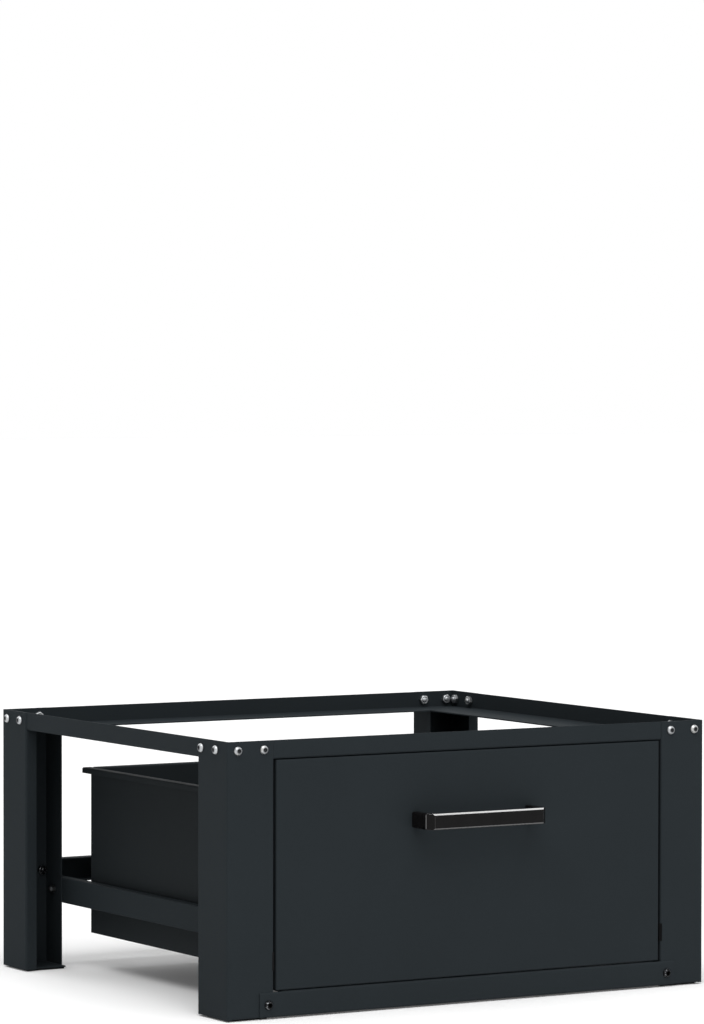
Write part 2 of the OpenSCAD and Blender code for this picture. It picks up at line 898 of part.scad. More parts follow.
module cross_rail_nuts() {
    color(black_metal) place() at_cross_bolts()
        translate([0, 0, -2 * sheet_t - nut_h]) rotate(30) hex_nut(nut_af, nut_h, bolt_d + 2 * hole_fit);
}

// The front bolt's head lies in the slide's web, the rear one in the runner's web
module runner_bolts() {
    grip = 2 * sheet_t + nut_h;
    color(zinc) place() both_sides() {
        at_runner_bolt(-runner_bolt_y, slide_t) countersunk_bolt(grip + slide_t, csk_d, csk_depth);
        at_runner_bolt(runner_bolt_y, 0) countersunk_bolt(grip, csk_d, csk_depth);
    }
}

module runner_nuts() {
    af = nut_af * 0.8;
    color(zinc) place() both_sides() for (y = [-runner_bolt_y, runner_bolt_y]) {
        at_runner_bolt(y, 0) translate([0, 0, -2 * sheet_t]) mirror([0, 0, 1])
            cap_nut(af, nut_h, csk_d + 2 * hole_fit);
    }
}

// ---- Drawer box ----

// Wall of the right side with its rim turned out and down
module box_side_section() {
    translate([box_half_w + rim_w, box_top_z - rim_drop]) rotate(90)
        folded_strip(
            [rim_drop - box_bend, rim_w + box_t - 2 * box_bend, box_h - box_bend],
            [1, 1], box_t, box_bend_r
        );
}

module drawer_left_side_form() {
    difference() {
        mirror([1, 0, 0]) along_y(box_front_y, box_d) box_side_section();
        for (at = slide_screws_at) at_slide_screw(at) hole(screw_d, 8 * box_t);
    }
}

module drawer_left_side() {
    color(steel_box) place() drawer_left_side_form();
}

module drawer_right_side() {
    color(steel_box) place() mirror([1, 0, 0]) drawer_left_side_form();
}

// Panel between the sides, its web at Y 0 and its foot at Z 0, with four flanges towards +Y
module flanged_panel(h, flange_w) {
    flange_run = flange_w - box_bend;
    mid_w = 2 * (box_in_x - box_bend);
    mid_h = h - 2 * box_bend;
    translate([0, 0, box_bend]) linear_extrude(height = mid_h) translate([-box_in_x, flange_w])
        rotate(-90) folded_strip([flange_run, mid_w, flange_run], [1, 1], box_t, box_bend_r);
    along_x(-mid_w / 2, mid_w) translate([flange_w, h])
        rotate(180) folded_strip([flange_run, mid_h, flange_run], [1, 1], box_t, box_bend_r);
}

// The floor's flanges point down, so that nothing stands in the box
module drawer_floor() {
    color(steel_box) place() translate([0, box_in_front_y, floor_top_z])
        rotate([-90, 0, 0]) flanged_panel(box_in_rear_y - box_in_front_y, floor_flange_w);
}

module drawer_rear_wall() {
    color(steel_box) place() translate([0, box_in_rear_y, box_z]) flanged_panel(box_h, wall_flange_w);
}

// Plain wall against the panel's lips, its top edge folded back into a hem
module drawer_front_wall() {
    color(steel_box) place() difference() {
        along_x(-box_in_x, 2 * box_in_x) translate([box_in_front_y, box_z]) rotate(90)
            folded_strip(
                [box_h - box_t - hem_r, hem_gap - 2 * hem_r, hem_h - box_t - hem_r],
                [-1, -1], box_t, hem_r
            );
        at_front_screws() hole(screw_d, 2 * box_t + eps);
    }
}

// Screws from inside the box into the panel's rear lips
module at_front_screws() {
    both_sides() for (z = front_screws_at) {
        translate([-front_screw_x, box_in_front_y, z]) rotate([-90, 0, 0]) children();
    }
}

module front_screws() {
    color(zinc) place() at_front_screws() pan_screw(box_t + panel_t + 4);
}

module slide_screws() {
    color(zinc) place() both_sides() for (at = slide_screws_at) {
        at_slide_screw(at) pan_screw(slide_t + box_t + small_nut_h + 0.6);
    }
}

module slide_nuts() {
    color(zinc) place() both_sides() for (at = slide_screws_at) {
        at_slide_screw(at) translate([0, 0, -slide_t - box_t - small_nut_h])
            hex_nut(small_nut_af, small_nut_h, screw_d + 2 * hole_fit);
    }
}

// ---- Drawer front: a pan folded back on all four sides, with lips at the rear ----

// Rectangle whose corners at the low Y side are round
module front_round_rect(low, size, r) {
    translate(low + [0, r]) square(size - [0, r]);
    translate(low + [r, 0]) square([size[0] - 2 * r, size[1]]);
    for (x = [r, size[0] - r]) {
        translate(low + [x, r]) circle(r = r);
    }
}

// Block with round front edges, inset on all sides
module pan_block(inset, r) {
    w = panel_half_w - inset;
    d = panel_d - 2 * inset;
    h = panel_h - 2 * inset;
    intersection() {
        translate([0, 0, panel_z + inset]) linear_extrude(height = h)
            front_round_rect([-w, inset - half_d], [2 * w, d], r);
        along_x(-w, 2 * w) mirror([1, -1]) front_round_rect([panel_z + inset, inset - half_d], [h, d], r);
    }
}

module drawer_front() {
    color(steel_dark) place() difference() {
        pan_block(0, panel_edge_r);
        pan_block(panel_t, panel_edge_r - panel_t);
        // Opening between the rear lips
        translate([-panel_window_half_w, box_front_y - panel_t - eps, panel_z + panel_lip_w])
            cube([2 * panel_window_half_w, panel_t + 2 * eps, panel_h - 2 * panel_lip_w]);
        at_front_screws() hole(screw_d, 8 * panel_t);
        at_handle_screws() hole(screw_d, 4 * panel_t);
    }
}

// ---- Handle ----

module at_handle_screws() {
    both_sides() translate([-handle_screw_x, panel_t - half_d, handle_z]) rotate([-90, 0, 0]) children();
}

// Bar with two posts, seen from above, with its ends chamfered
module handle_plan() {
    half = handle_l / 2;
    c = handle_chamfer;
    inner_c = handle_inner_chamfer;
    polygon([
        [-half, 0], [-half, c - handle_out], [c - half, -handle_out], [half - c, -handle_out],
        [half, c - handle_out], [half, 0], [half - handle_t, 0],
        [half - handle_t, handle_t + inner_c - handle_out],
        [half - handle_t - inner_c, handle_t - handle_out],
        [inner_c + handle_t - half, handle_t - handle_out],
        [handle_t - half, handle_t + inner_c - handle_out], [handle_t - half, 0]
    ]);
}

// Section of the bar with its outer long edges bevelled
module handle_side(reach) {
    b = handle_bevel;
    h = handle_h / 2;
    polygon([[0, -h], [b - reach, -h], [-reach, b - h], [-reach, h - b], [b - reach, h], [0, h]]);
}

module handle_bar() {
    color(black_metal) place() difference() {
        translate([0, -half_d, handle_z]) intersection() {
            translate([0, 0, -handle_h / 2]) linear_extrude(height = handle_h) handle_plan();
            along_x(-handle_l / 2, handle_l) handle_side(handle_out);
            // The posts' outer edges are bevelled the same way
            rotate([90, 0, 0]) linear_extrude(height = handle_out) intersection() {
                translate([handle_l / 2, 0]) handle_side(handle_l);
                translate([-handle_l / 2, 0]) mirror([1, 0]) handle_side(handle_l);
            }
        }
        at_handle_screws() hole(screw_d, 2 * handle_screw_depth);
    }
}

module handle_screws() {
    color(zinc) place() at_handle_screws() pan_screw(panel_t + handle_screw_depth - 4);
}

front_left_leg();
front_right_leg();
rear_left_leg();
rear_right_leg();
front_left_pad();
front_right_pad();
rear_left_pad();
rear_right_pad();
front_top_rail();
rear_top_rail();
left_top_rail();
right_top_rail();
front_bottom_rail();
rear_cross_rail();
left_runner_rail();
right_runner_rail();
edge_buffers();
corner_bolts();
corner_nuts();
cross_rail_bolts();
cross_rail_nuts();
runner_bolts();
runner_nuts();
slide_rivets();
slide_bumpers();
left_slide_outer();
right_slide_outer();
left_slide_middle();
right_slide_middle();
left_slide_inner();
right_slide_inner();
left_outer_cage();
right_outer_cage();
left_inner_cage();
right_inner_cage();
left_outer_balls();
right_outer_balls();
left_inner_balls();
right_inner_balls();
drawer_left_side();
drawer_right_side();
drawer_floor();
drawer_front_wall();
drawer_rear_wall();
drawer_front();
front_screws();
slide_screws();
slide_nuts();
handle_bar();
handle_screws();
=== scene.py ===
"""Sheet-steel pedestal with a drawer: finishes, fasteners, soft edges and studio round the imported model.

Lengths of shapes are in millimetres and turned into metres when a mesh is made. Those of finishes are in
metres, as Object coordinates are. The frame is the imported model's: +X right, +Y to the back, +Z up,
floor at Z 0.
"""

from __future__ import annotations

import logging
import math
from abc import ABC, abstractmethod
from dataclasses import dataclass
from enum import Enum
from typing import ClassVar, Mapping, Sequence, Union

import bmesh
import bpy
import numpy as np
from mathutils import Matrix, Vector


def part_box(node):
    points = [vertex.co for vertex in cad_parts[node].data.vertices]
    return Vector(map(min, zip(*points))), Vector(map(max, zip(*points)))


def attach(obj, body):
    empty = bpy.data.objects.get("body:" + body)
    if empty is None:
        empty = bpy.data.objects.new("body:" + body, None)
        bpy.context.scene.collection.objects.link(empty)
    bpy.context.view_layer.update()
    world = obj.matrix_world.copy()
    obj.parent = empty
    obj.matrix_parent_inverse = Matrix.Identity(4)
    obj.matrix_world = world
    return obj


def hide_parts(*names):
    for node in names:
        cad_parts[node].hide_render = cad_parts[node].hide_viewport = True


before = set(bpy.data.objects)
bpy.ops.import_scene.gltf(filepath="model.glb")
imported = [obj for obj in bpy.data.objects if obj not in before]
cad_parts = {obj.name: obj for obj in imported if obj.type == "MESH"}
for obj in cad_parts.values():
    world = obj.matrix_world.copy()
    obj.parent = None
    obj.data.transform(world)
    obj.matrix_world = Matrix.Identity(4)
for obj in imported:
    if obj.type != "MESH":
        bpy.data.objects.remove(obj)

LOG = logging.getLogger("pedestal")
MM = 0.001
TURN = 2 * math.pi
RECESS = "recess"  # point attribute of the fasteners: how deep in a socket, slot or corner; finishes paint shade there by it
CUT_AND_HIGHLIGHT = "cut"  # face attribute of the handle: how bright a cut edge is painted, graded by facing as painted highlight
SAME_PLACE = 0.002  # points of a node closer than this, in millimetres, are one
FLAT_BELOW = 0.5  # faces of a node that meet at less than this many degrees are one
SHARP_ABOVE = 35.0  # edges that turn by more than this many degrees are rounded
CHAMFER_SLOPE = 1.75  # how fast the cone that chamfers a nut widens below its face

Colour = tuple[float, float, float]  # linear red, green and blue
Seat = tuple[Vector, Vector]  # where a fastener sits, and the direction that it faces
Value = Union["Wire", float, int, Sequence[float]]  # what a node's socket can take


def srgb(red: int, green: int, blue: int) -> Colour:
    """Linear colour of an 8-bit screen colour.

    Args:
        red: Red channel, 0 to 255.
        green: Green channel, 0 to 255.
        blue: Blue channel, 0 to 255.

    Returns:
        The same colour as linear light.
    """
    shares = [channel / 255 for channel in (red, green, blue)]
    return tuple(s / 12.92 if s < 0.04045 else ((s + 0.055) / 1.055) ** 2.4 for s in shares)


def shade(colour: Colour, factor: float) -> Colour:
    """A lighter or darker version of a linear colour."""
    return tuple(min(1.0, c * factor) for c in colour)


def box_mm(node: str) -> tuple[Vector, Vector]:
    """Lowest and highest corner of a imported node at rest, in millimetres."""
    low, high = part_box(node)
    return low / MM, high / MM


def middle(box: tuple[Vector, Vector]) -> Vector:
    """Centre of a box."""
    return (box[0] + box[1]) / 2


# ---------------------------------------------------------------------------------------------
# Shader graph
# ---------------------------------------------------------------------------------------------


class Wire:
    """An output socket of a shader node that can stand in a Python expression."""

    def __init__(self, graph: ShaderGraph, socket: bpy.types.NodeSocket) -> None:
        """Keeps the graph and the socket.

        Args:
            graph: The graph that the socket's node is in.
            socket: The output socket.
        """
        self.graph = graph
        self.socket = socket

    def _math(self, operation: str, *values: Value) -> Wire:
        """The result of one Math node on these values."""
        return self.graph.add("ShaderNodeMath", {"operation": operation}, dict(enumerate(values)))

    def __add__(self, other: Value) -> Wire:
        """This plus other."""
        return self._math("ADD", self, other)

    def __radd__(self, other: Value) -> Wire:
        """Other plus this."""
        return self._math("ADD", other, self)

    def __sub__(self, other: Value) -> Wire:
        """This minus other."""
        return self._math("SUBTRACT", self, other)

    def __rsub__(self, other: Value) -> Wire:
        """Other minus this."""
        return self._math("SUBTRACT", other, self)

    def __mul__(self, other: Value) -> Wire:
        """This times other."""
        return self._math("MULTIPLY", self, other)

    def __rmul__(self, other: Value) -> Wire:
        """Other times this."""
        return self._math("MULTIPLY", other, self)

    def __abs__(self) -> Wire:
        """This without its sign."""
        return self._math("ABSOLUTE", self)

    def above(self, limit: float) -> Wire:
        """1 where this is over the limit, else 0."""
        return self._math("GREATER_THAN", self, limit)

    def either(self, other: Value) -> Wire:
        """The larger of this and other."""
        return self._math("MAXIMUM", self, other)

    def rise(self, low: float, high: float) -> Wire:
        """A smooth step from 0 at low to 1 at high."""
        ends = {0: self, 1: low, 2: high, 3: 0.0, 4: 1.0}
        return self.graph.add("ShaderNodeMapRange", {"interpolation_type": "SMOOTHSTEP"}, ends)

    def split(self) -> tuple[Wire, Wire, Wire]:
        """The X, Y and Z of a vector."""
        parts = self.graph.add("ShaderNodeSeparateXYZ", {}, {0: self})
        return parts, parts.beside(1), parts.beside(2)

    def beside(self, output: int | str) -> Wire:
        """Another output of the same node."""
        return Wire(self.graph, self.socket.node.outputs[output])


class ShaderGraph:
    """The node tree of one material or world, built from Python expressions."""

    def __init__(self, owner: bpy.types.Material | bpy.types.World) -> None:
        """Empties the owner's node tree.

        Args:
            owner: The material or world.
        """
        owner.use_nodes = True
        self.owner = owner
        self.tree = owner.node_tree
        self.tree.nodes.clear()

    def add(
        self,
        kind: str,
        settings: Mapping[str, object],
        inputs: Mapping[int | str, Value],
        output: int | str = 0,
    ) -> Wire:
        """Makes any node: its settings come first, then its sockets' values or links.

        Args:
            kind: Blender's name of the node type.
            settings: Properties of the node, such as a Math node's operation.
            inputs: Socket index or name to a wire or a plain value.
            output: Which output to return.

        Returns:
            The chosen output.
        """
        node = self.tree.nodes.new(kind)
        for key, value in settings.items():
            setattr(node, key, value)
        for key, value in inputs.items():
            if isinstance(value, Wire):
                self.tree.links.new(value.socket, node.inputs[key])
            else:
                node.inputs[key].default_value = value
        return Wire(self, node.outputs[output] if len(node.outputs) else None)

    def place(self, stretch: Sequence[float] = (1.0, 1.0, 1.0)) -> Wire:
        """Object coordinates in metres, scaled along each axis.

        Args:
            stretch: Scale along X, Y and Z; a small one draws the pattern out along that axis.

        Returns:
            The coordinates.
        """
        plain = self.add("ShaderNodeTexCoord", {}, {}, "Object")
        if tuple(stretch) == (1.0, 1.0, 1.0):
            return plain
        return self.add("ShaderNodeMapping", {}, {"Vector": plain, "Scale": stretch})

    def noise(self, at: Wire, size: float, detail: float = 2.0, roughness: float = 0.5) -> Wire:
        """Cloudy noise from 0 to 1 whose features are about size metres wide."""
        inputs = {"Vector": at, "Scale": 1 / size, "Detail": detail, "Roughness": roughness}
        return self.add("ShaderNodeTexNoise", {}, inputs)

    def cells(self, at: Wire, size: float) -> Wire:
        """Soft round grains about size metres wide: 0 in each middle, rising to its rim."""
        inputs = {"Vector": at, "Scale": 1 / size, "Smoothness": 0.6}
        return self.add("ShaderNodeTexVoronoi", {"feature": "SMOOTH_F1"}, inputs)

    def between(self, factor: Value, low: Sequence[float] | Wire, high: Sequence[float] | Wire) -> Wire:
        """Colour between low and high."""
        ends = [c if isinstance(c, Wire) else (*c, 1.0) for c in (low, high)]
        return self.add("ShaderNodeMix", {"data_type": "RGBA"}, {0: factor, 6: ends[0], 7: ends[1]}, 2)

    def bump(self, height: Value, depth: float, strength: float = 1.0) -> Wire:
        """Normal of a surface with this height map, depth metres deep."""
        return self.add("ShaderNodeBump", {}, {"Strength": strength, "Distance": depth, "Height": height})

    def surface(self, **sockets: Value) -> Wire:
        """A Principled shader; Base_Color=... sets "Base Color"."""
        inputs = {key.replace("_", " "): value for key, value in sockets.items()}
        return self.add("ShaderNodeBsdfPrincipled", {}, inputs)

    def recess(self) -> Wire:
        """How deep in a socket, slot or corner a point of a fastener lies, from 0 to 1, where finishes paint
        shade; 0 on other meshes.
        """
        return self.add("ShaderNodeAttribute", {"attribute_name": RECESS}, {}, "Fac")

    def mixed(self, factor: Value, first: Wire, second: Wire) -> Wire:
        """The first shader where the factor is 0 and the second where it is 1."""
        return self.add("ShaderNodeMixShader", {}, {0: factor, 1: first, 2: second})

    def finish(self, shader: Wire) -> bpy.types.Material | bpy.types.World:
        """Connects the shader to the output.

        Args:
            shader: The finished shader.

        Returns:
            The material or world that the graph belongs to.
        """
        output = "World" if isinstance(self.owner, bpy.types.World) else "Material"
        self.add(f"ShaderNodeOutput{output}", {}, {"Surface": shader})
        return self.owner


# ---------------------------------------------------------------------------------------------
# Finishes
# ---------------------------------------------------------------------------------------------


@dataclass(frozen=True)
class Finish(ABC):
    """A surface finish: a name and the node network that paints it."""

    name: str

    def material(self) -> bpy.types.Material:
        """The finish as a material, made once."""
        found = bpy.data.materials.get(self.name)
        return found or self.paint(ShaderGraph(bpy.data.materials.new(self.name)))

    @abstractmethod
    def paint(self, graph: ShaderGraph) -> bpy.types.Material:
        """Builds the node network.

        Args:
            graph: The empty graph of the new material.

        Returns:
            The material.
        """


@dataclass(frozen=True)
class GapPaintedShade:
    """The thin gap between the drawer front and the rail over it, whose two faces are painted darker and matt
    as painted shade.
    """

    under: float = 0.6 * MM
    over: float = 0.3 * MM
    behind: float = 0.05 * MM
    beside: float = 0.5 * MM

    def mask(self, at: Wire) -> Wire:
        """1 where a point lies in the gap, between the front's top and the rail's foot, else 0.

        Args:
            at: Object coordinates.

        Returns:
            The mask, which reaches a little into both faces and ends at the rail's edge and the legs.
        """
        x, y, z = at.split()
        rail_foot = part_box("front_top_rail")[0]
        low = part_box("drawer_front")[1].z - self.under
        half_w = abs(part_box("front_left_leg")[1].x) - self.beside
        level = z.above(low) * (rail_foot.z + self.over - z).above(0)
        return level * y.above(rail_foot.y + self.behind) * (half_w - abs(x)).above(0)


@dataclass(frozen=True)
class PowderCoat(Finish):
    """Fine-texture powder coat: matt paint with a leathery orange peel and a fine grain."""

    colour: Colour = (0.02, 0.02, 0.02)
    cloud: float = 110 * MM
    peel: float = 1.1 * MM
    grain: float = 0.42 * MM
    speck: float = 0.3 * MM
    depth: float = 0.035 * MM
    gloss: float = 0.50
    shine: float = 0.022
    gap: GapPaintedShade = GapPaintedShade()

    def paint(self, graph: ShaderGraph) -> bpy.types.Material:
        """Broad cloudiness and a fine speckle tint the paint; peel and grain move gloss and height.

        Args:
            graph: The empty graph of the new material.

        Returns:
            The material.
        """
        at = graph.place()
        cloud = graph.noise(at, self.cloud, detail=3.0)
        peel = graph.noise(at, self.peel, detail=1.0)
        grain = graph.cells(at, self.grain)
        speck = graph.noise(at, self.speck, detail=0.0).rise(0.62, 0.78)
        tint = graph.between(cloud, shade(self.colour, 0.90), shade(self.colour, 1.10))
        tint = graph.between(grain * 0.35, tint, shade(self.colour, 0.72))
        tint = graph.between(speck * 0.5, tint, shade(self.colour, 1.5))
        height = peel * 0.55 + (1 - grain) * 0.45
        coat = graph.surface(
            Base_Color=tint,
            Roughness=self.gloss + 0.08 * cloud + 0.10 * grain,
            Specular_IOR_Level=self.shine,
            Normal=graph.bump(height, self.depth),
        )
        # Painted shade: in the gap the coat gives way to a darker matt diffuse.
        gap_shade_tint = graph.between(cloud, shade(self.colour, 0.6), self.colour)
        dust_and_shade = graph.add("ShaderNodeBsdfDiffuse", {}, {"Color": gap_shade_tint})
        return graph.finish(graph.mixed(self.gap.mask(at), coat, dust_and_shade))


@dataclass(frozen=True)
class ZincPlate(Finish):
    """Bright zinc: cool metal with faint clouds of passivation and fine brushed lines."""

    colour: Colour = (0.52, 0.535, 0.55)
    straw: Colour = (1.08, 1.02, 0.90)
    painted_shade: Colour = (0.040, 0.042, 0.045)
    stretch: tuple[float, float, float] = (1.0, 1.0, 1.0)
    line: float = 0.35 * MM
    cloud: float = 9 * MM
    stain: float = 14 * MM
    depth: float = 0.012 * MM
    gloss: float = 0.26

    def paint(self, graph: ShaderGraph) -> bpy.types.Material:
        """Lines run along the axis with the small stretch; clouds turn slightly blue or straw.

        Args:
            graph: The empty graph of the new material.

        Returns:
            The material.
        """
        at = graph.place()
        lines = graph.noise(graph.place(self.stretch), self.line, detail=3.0, roughness=0.6)
        cloud = graph.noise(at, self.cloud, detail=3.0)
        tint = graph.between(cloud.rise(0.35, 0.65), shade(self.colour, 0.86), self.colour)
        straw = tuple(c * k for c, k in zip(self.colour, self.straw))
        tint = graph.between(graph.noise(at, self.stain).rise(0.5, 0.8) * 0.6, tint, straw)
        # Painted shade: the recess mark blends sockets, bores and bolt rims to the dark shade colour.
        recess = graph.recess()
        return graph.finish(
            graph.surface(
                Base_Color=graph.between(recess, tint, self.painted_shade),
                Metallic=1.0,
                Roughness=self.gloss + 0.14 * cloud + 0.10 * lines + 0.25 * recess,
                Normal=graph.bump(lines, self.depth, 0.6),
            )
        )


@dataclass(frozen=True)
class BlackOxide(Finish):
    """Black fasteners: dark oiled oxide over steel, a little worn."""

    colour: Colour = (0.020, 0.021, 0.023)
    worn: Colour = (0.30, 0.31, 0.32)
    painted_shade: Colour = (0.002, 0.002, 0.002)
    cloud: float = 3 * MM
    spot: float = 2.2 * MM
    grain: float = 0.25 * MM
    depth: float = 0.01 * MM
    gloss: float = 0.24

    def paint(self, graph: ShaderGraph) -> bpy.types.Material:
        """Metallic black with cloudy gloss, rubbed bright in a few spots and blackest in its socket.

        Args:
            graph: The empty graph of the new material.

        Returns:
            The material.
        """
        at = graph.place()
        cloud = graph.noise(at, self.cloud, detail=3.0)
        fine = graph.noise(at, self.grain, detail=2.0)
        rubbed = graph.noise(at, self.spot, detail=2.0).rise(0.56, 0.64)
        # Painted shade: the recess mark turns the socket and rim towards the near-black shade colour.
        recess = graph.recess()
        tint = graph.between(cloud, shade(self.colour, 0.7), shade(self.colour, 1.5))
        tint = graph.between(rubbed * (1 - recess), tint, self.worn)
        return graph.finish(
            graph.surface(
                Base_Color=graph.between(recess, tint, self.painted_shade),
                Metallic=1.0,
                Roughness=self.gloss + 0.2 * cloud + 0.3 * recess,
                Normal=graph.bump(fine, self.depth),
            )
        )


@dataclass(frozen=True)
class RolledSteel(Finish):
    """Plain pressed strip, slightly oily, drawn along the slides."""

    colour: Colour = (0.40, 0.41, 0.42)
    stretch: tuple[float, float, float] = (1.0, 0.03, 1.0)
    streak: float = 0.3 * MM
    patch: float = 6 * MM
    depth: float = 0.01 * MM
    gloss: float = 0.42

    def paint(self, graph: ShaderGraph) -> bpy.types.Material:
        """Streaks along the strip and soft oily patches.

        Args:
            graph: The empty graph of the new material.

        Returns:
            The material.
        """
        at = graph.place()
        streaks = graph.noise(graph.place(self.stretch), self.streak, detail=2.0)
        oil = graph.noise(at, self.patch, detail=2.0).rise(0.4, 0.7)
        return graph.finish(
            graph.surface(
                Base_Color=graph.between(streaks, shade(self.colour, 0.7), shade(self.colour, 1.25)),
                Metallic=1.0,
                Roughness=self.gloss + 0.12 * streaks - 0.16 * oil,
                Normal=graph.bump(streaks, self.depth),
            )
        )


@dataclass(frozen=True)
class BearingSteel(Finish):
    """Polished balls with a thin film of grease."""

    colour: Colour = (0.66, 0.66, 0.68)
    greased: Colour = (0.30, 0.27, 0.20)
    patch: float = 1.6 * MM
    gloss: float = 0.08

    def paint(self, graph: ShaderGraph) -> bpy.types.Material:
        """Mirror-like metal, dulled in patches by grease.

        Args:
            graph: The empty graph of the new material.

        Returns:
            The material.
        """
        grease = graph.noise(graph.place(), self.patch, detail=1.0).rise(0.45, 0.75)
        tint = graph.between(grease * 0.6, self.colour, self.greased)
        gloss = self.gloss + 0.25 * grease
        return graph.finish(graph.surface(Base_Color=tint, Metallic=1.0, Roughness=gloss))


@dataclass(frozen=True)
class MattRubber(Finish):
    """Black moulded rubber, dusty in its pores."""

    # Darker than real black rubber: its own colour on the pads, and painted shade in the front legs' notches.
    colour: Colour = (0.0045, 0.0047, 0.005)
    dusty: Colour = (0.020, 0.021, 0.022)
    pore: float = 0.5 * MM
    patch: float = 7 * MM
    depth: float = 0.05 * MM
    gloss: float = 0.72
    shine: float = 0.08

    def paint(self, graph: ShaderGraph) -> bpy.types.Material:
        """Pores darken and dust lightens the rubber.

        Args:
            graph: The empty graph of the new material.

        Returns:
            The material.
        """
        at = graph.place()
        pores = graph.cells(at, self.pore)
        dust_and_shade = graph.noise(at, self.patch, detail=3.0).rise(0.45, 0.8)
        return graph.finish(
            graph.surface(
                Base_Color=graph.between(dust_and_shade * 0.5, self.colour, self.dusty),
                Roughness=self.gloss + 0.16 * pores,
                Specular_IOR_Level=self.shine,
                Normal=graph.bump(pores, self.depth, 0.7),
            )
        )


@dataclass(frozen=True)
class GlossBar(Finish):
    """Black lacquered bar whose front edges are cut bright."""

    colour: Colour = (0.0045, 0.0043, 0.0045)
    bright: Colour = (0.95, 0.95, 0.95)
    cut_from: float = 0.05
    stretch: tuple[float, float, float] = (0.02, 1.0, 1.0)
    haze: float = 12 * MM
    line: float = 0.2 * MM
    depth: float = 0.02 * MM
    gloss: float = 0.12
    shine: float = 0.08

    def paint(self, graph: ShaderGraph) -> bpy.types.Material:
        """The mesh says how bright each cut edge is; haze and fine lines along the bar move its gloss.

        Args:
            graph: The empty graph of the new material.

        Returns:
            The material.
        """
        # The cut edge is real bright metal; its brightness, graded by which way a face looks, is painted
        # highlight.
        edge = graph.add("ShaderNodeAttribute", {"attribute_name": CUT_AND_HIGHLIGHT}, {}, "Fac")
        haze = graph.noise(graph.place(), self.haze, detail=3.0)
        lines = graph.noise(graph.place(self.stretch), self.line, detail=1.0)
        black = graph.between(haze, self.colour, shade(self.colour, 1.6))
        return graph.finish(
            graph.surface(
                Base_Color=graph.between(edge, black, self.bright),
                Metallic=edge.above(self.cut_from),
                Roughness=self.gloss + 0.06 * haze + 0.10 * lines * edge,
                Specular_IOR_Level=self.shine,
                Normal=graph.bump(haze * 0.3 + lines * 0.02, self.depth),
            )
        )


class Finishes(Enum):
    """The finishes of the pedestal."""

    FRAME = PowderCoat("frame_powder_coat", colour=srgb(40, 45, 48))
    # The frame's coat painted darker for the drawer box: painted shade for the box inside the stand.
    BOX_PAINTED_SHADE = PowderCoat("box_coat_painted_shade", colour=srgb(35, 39, 41), gloss=0.46)
    ZINC = ZincPlate("bright_zinc")
    # Zinc darkened to about a tenth of bright zinc: painted shade for the runners' cap nuts inside the legs.
    ZINC_PAINTED_SHADE = ZincPlate("zinc_painted_shade", colour=(0.065, 0.068, 0.07), gloss=0.36)
    DRAWN_ZINC = ZincPlate("drawn_zinc", colour=(0.43, 0.44, 0.455), stretch=(1.0, 0.02, 1.0), gloss=0.30)
    BLACK_BOLT = BlackOxide("black_oxide")
    CAGE = RolledSteel("pressed_strip")
    BALL = BearingSteel("bearing_steel")
    RUBBER = MattRubber("rubber_painted_darker")
    HANDLE = GlossBar("gloss_black_bar")

    @property
    def material(self) -> bpy.types.Material:
        """The finish's material."""
        return self.value.material()


# ---------------------------------------------------------------------------------------------
# Surfaces
# ---------------------------------------------------------------------------------------------


@dataclass(frozen=True)
class Shape:
    """A closed surface: points in millimetres, quads and triangles that point outwards, and recess marks."""

    points: np.ndarray
    quads: np.ndarray
    tris: np.ndarray
    recess: np.ndarray

    def moved(self, matrix: Matrix) -> Shape:
        """The shape carried by a rigid move."""
        m = np.array(matrix)
        return Shape(self.points @ m[:3, :3].T + m[:3, 3], self.quads, self.tris, self.recess)

    @staticmethod
    def joined(shapes: Sequence[Shape]) -> Shape:
        """Several shapes as one, each still closed by itself.

        Args:
            shapes: The shapes.

        Returns:
            One shape with all their faces.
        """
        starts = np.cumsum([0] + [len(s.points) for s in shapes[:-1]])
        return Shape(
            np.concatenate([s.points for s in shapes]),
            np.concatenate([s.quads + k for s, k in zip(shapes, starts)]),
            np.concatenate([s.tris + k for s, k in zip(shapes, starts)]),
            np.concatenate([s.recess for s in shapes]),
        )

    def piece(self, name: str, smooth_below: float = 38.0) -> bpy.types.Object:
        """Makes a Blender object at the origin, with its place in its mesh.

        Args:
            name: The piece's name.
            smooth_below: Edges that turn by less than this many degrees are shaded smooth.

        Returns:
            The new object.
        """
        mesh = bpy.data.meshes.new(name)
        corners = np.concatenate([self.quads.ravel(), self.tris.ravel()])
        sides = np.concatenate([np.full(len(self.quads), 4), np.full(len(self.tris), 3)])
        mesh.vertices.add(len(self.points))
        mesh.vertices.foreach_set("co", (self.points * MM).astype(np.float32).ravel())
        mesh.loops.add(len(corners))
        mesh.loops.foreach_set("vertex_index", corners.astype(np.int32))
        mesh.polygons.add(len(sides))
        mesh.polygons.foreach_set("loop_start", (np.cumsum(sides) - sides).astype(np.int32))
        mesh.update(calc_edges=True)
        mark(mesh, RECESS, "POINT", self.recess)
        mesh.validate()
        return link_piece(mesh, name, smooth_below)


def mark(mesh: bpy.types.Mesh, name: str, domain: str, values: np.ndarray) -> None:
    """Stores one number per point or face, for a material to read.

    Args:
        mesh: The mesh.
        name: The attribute's name.
        domain: POINT or FACE.
        values: The numbers.
    """
    layer = mesh.attributes.new(name, "FLOAT", domain)
    layer.data.foreach_set("value", values.astype(np.float32))


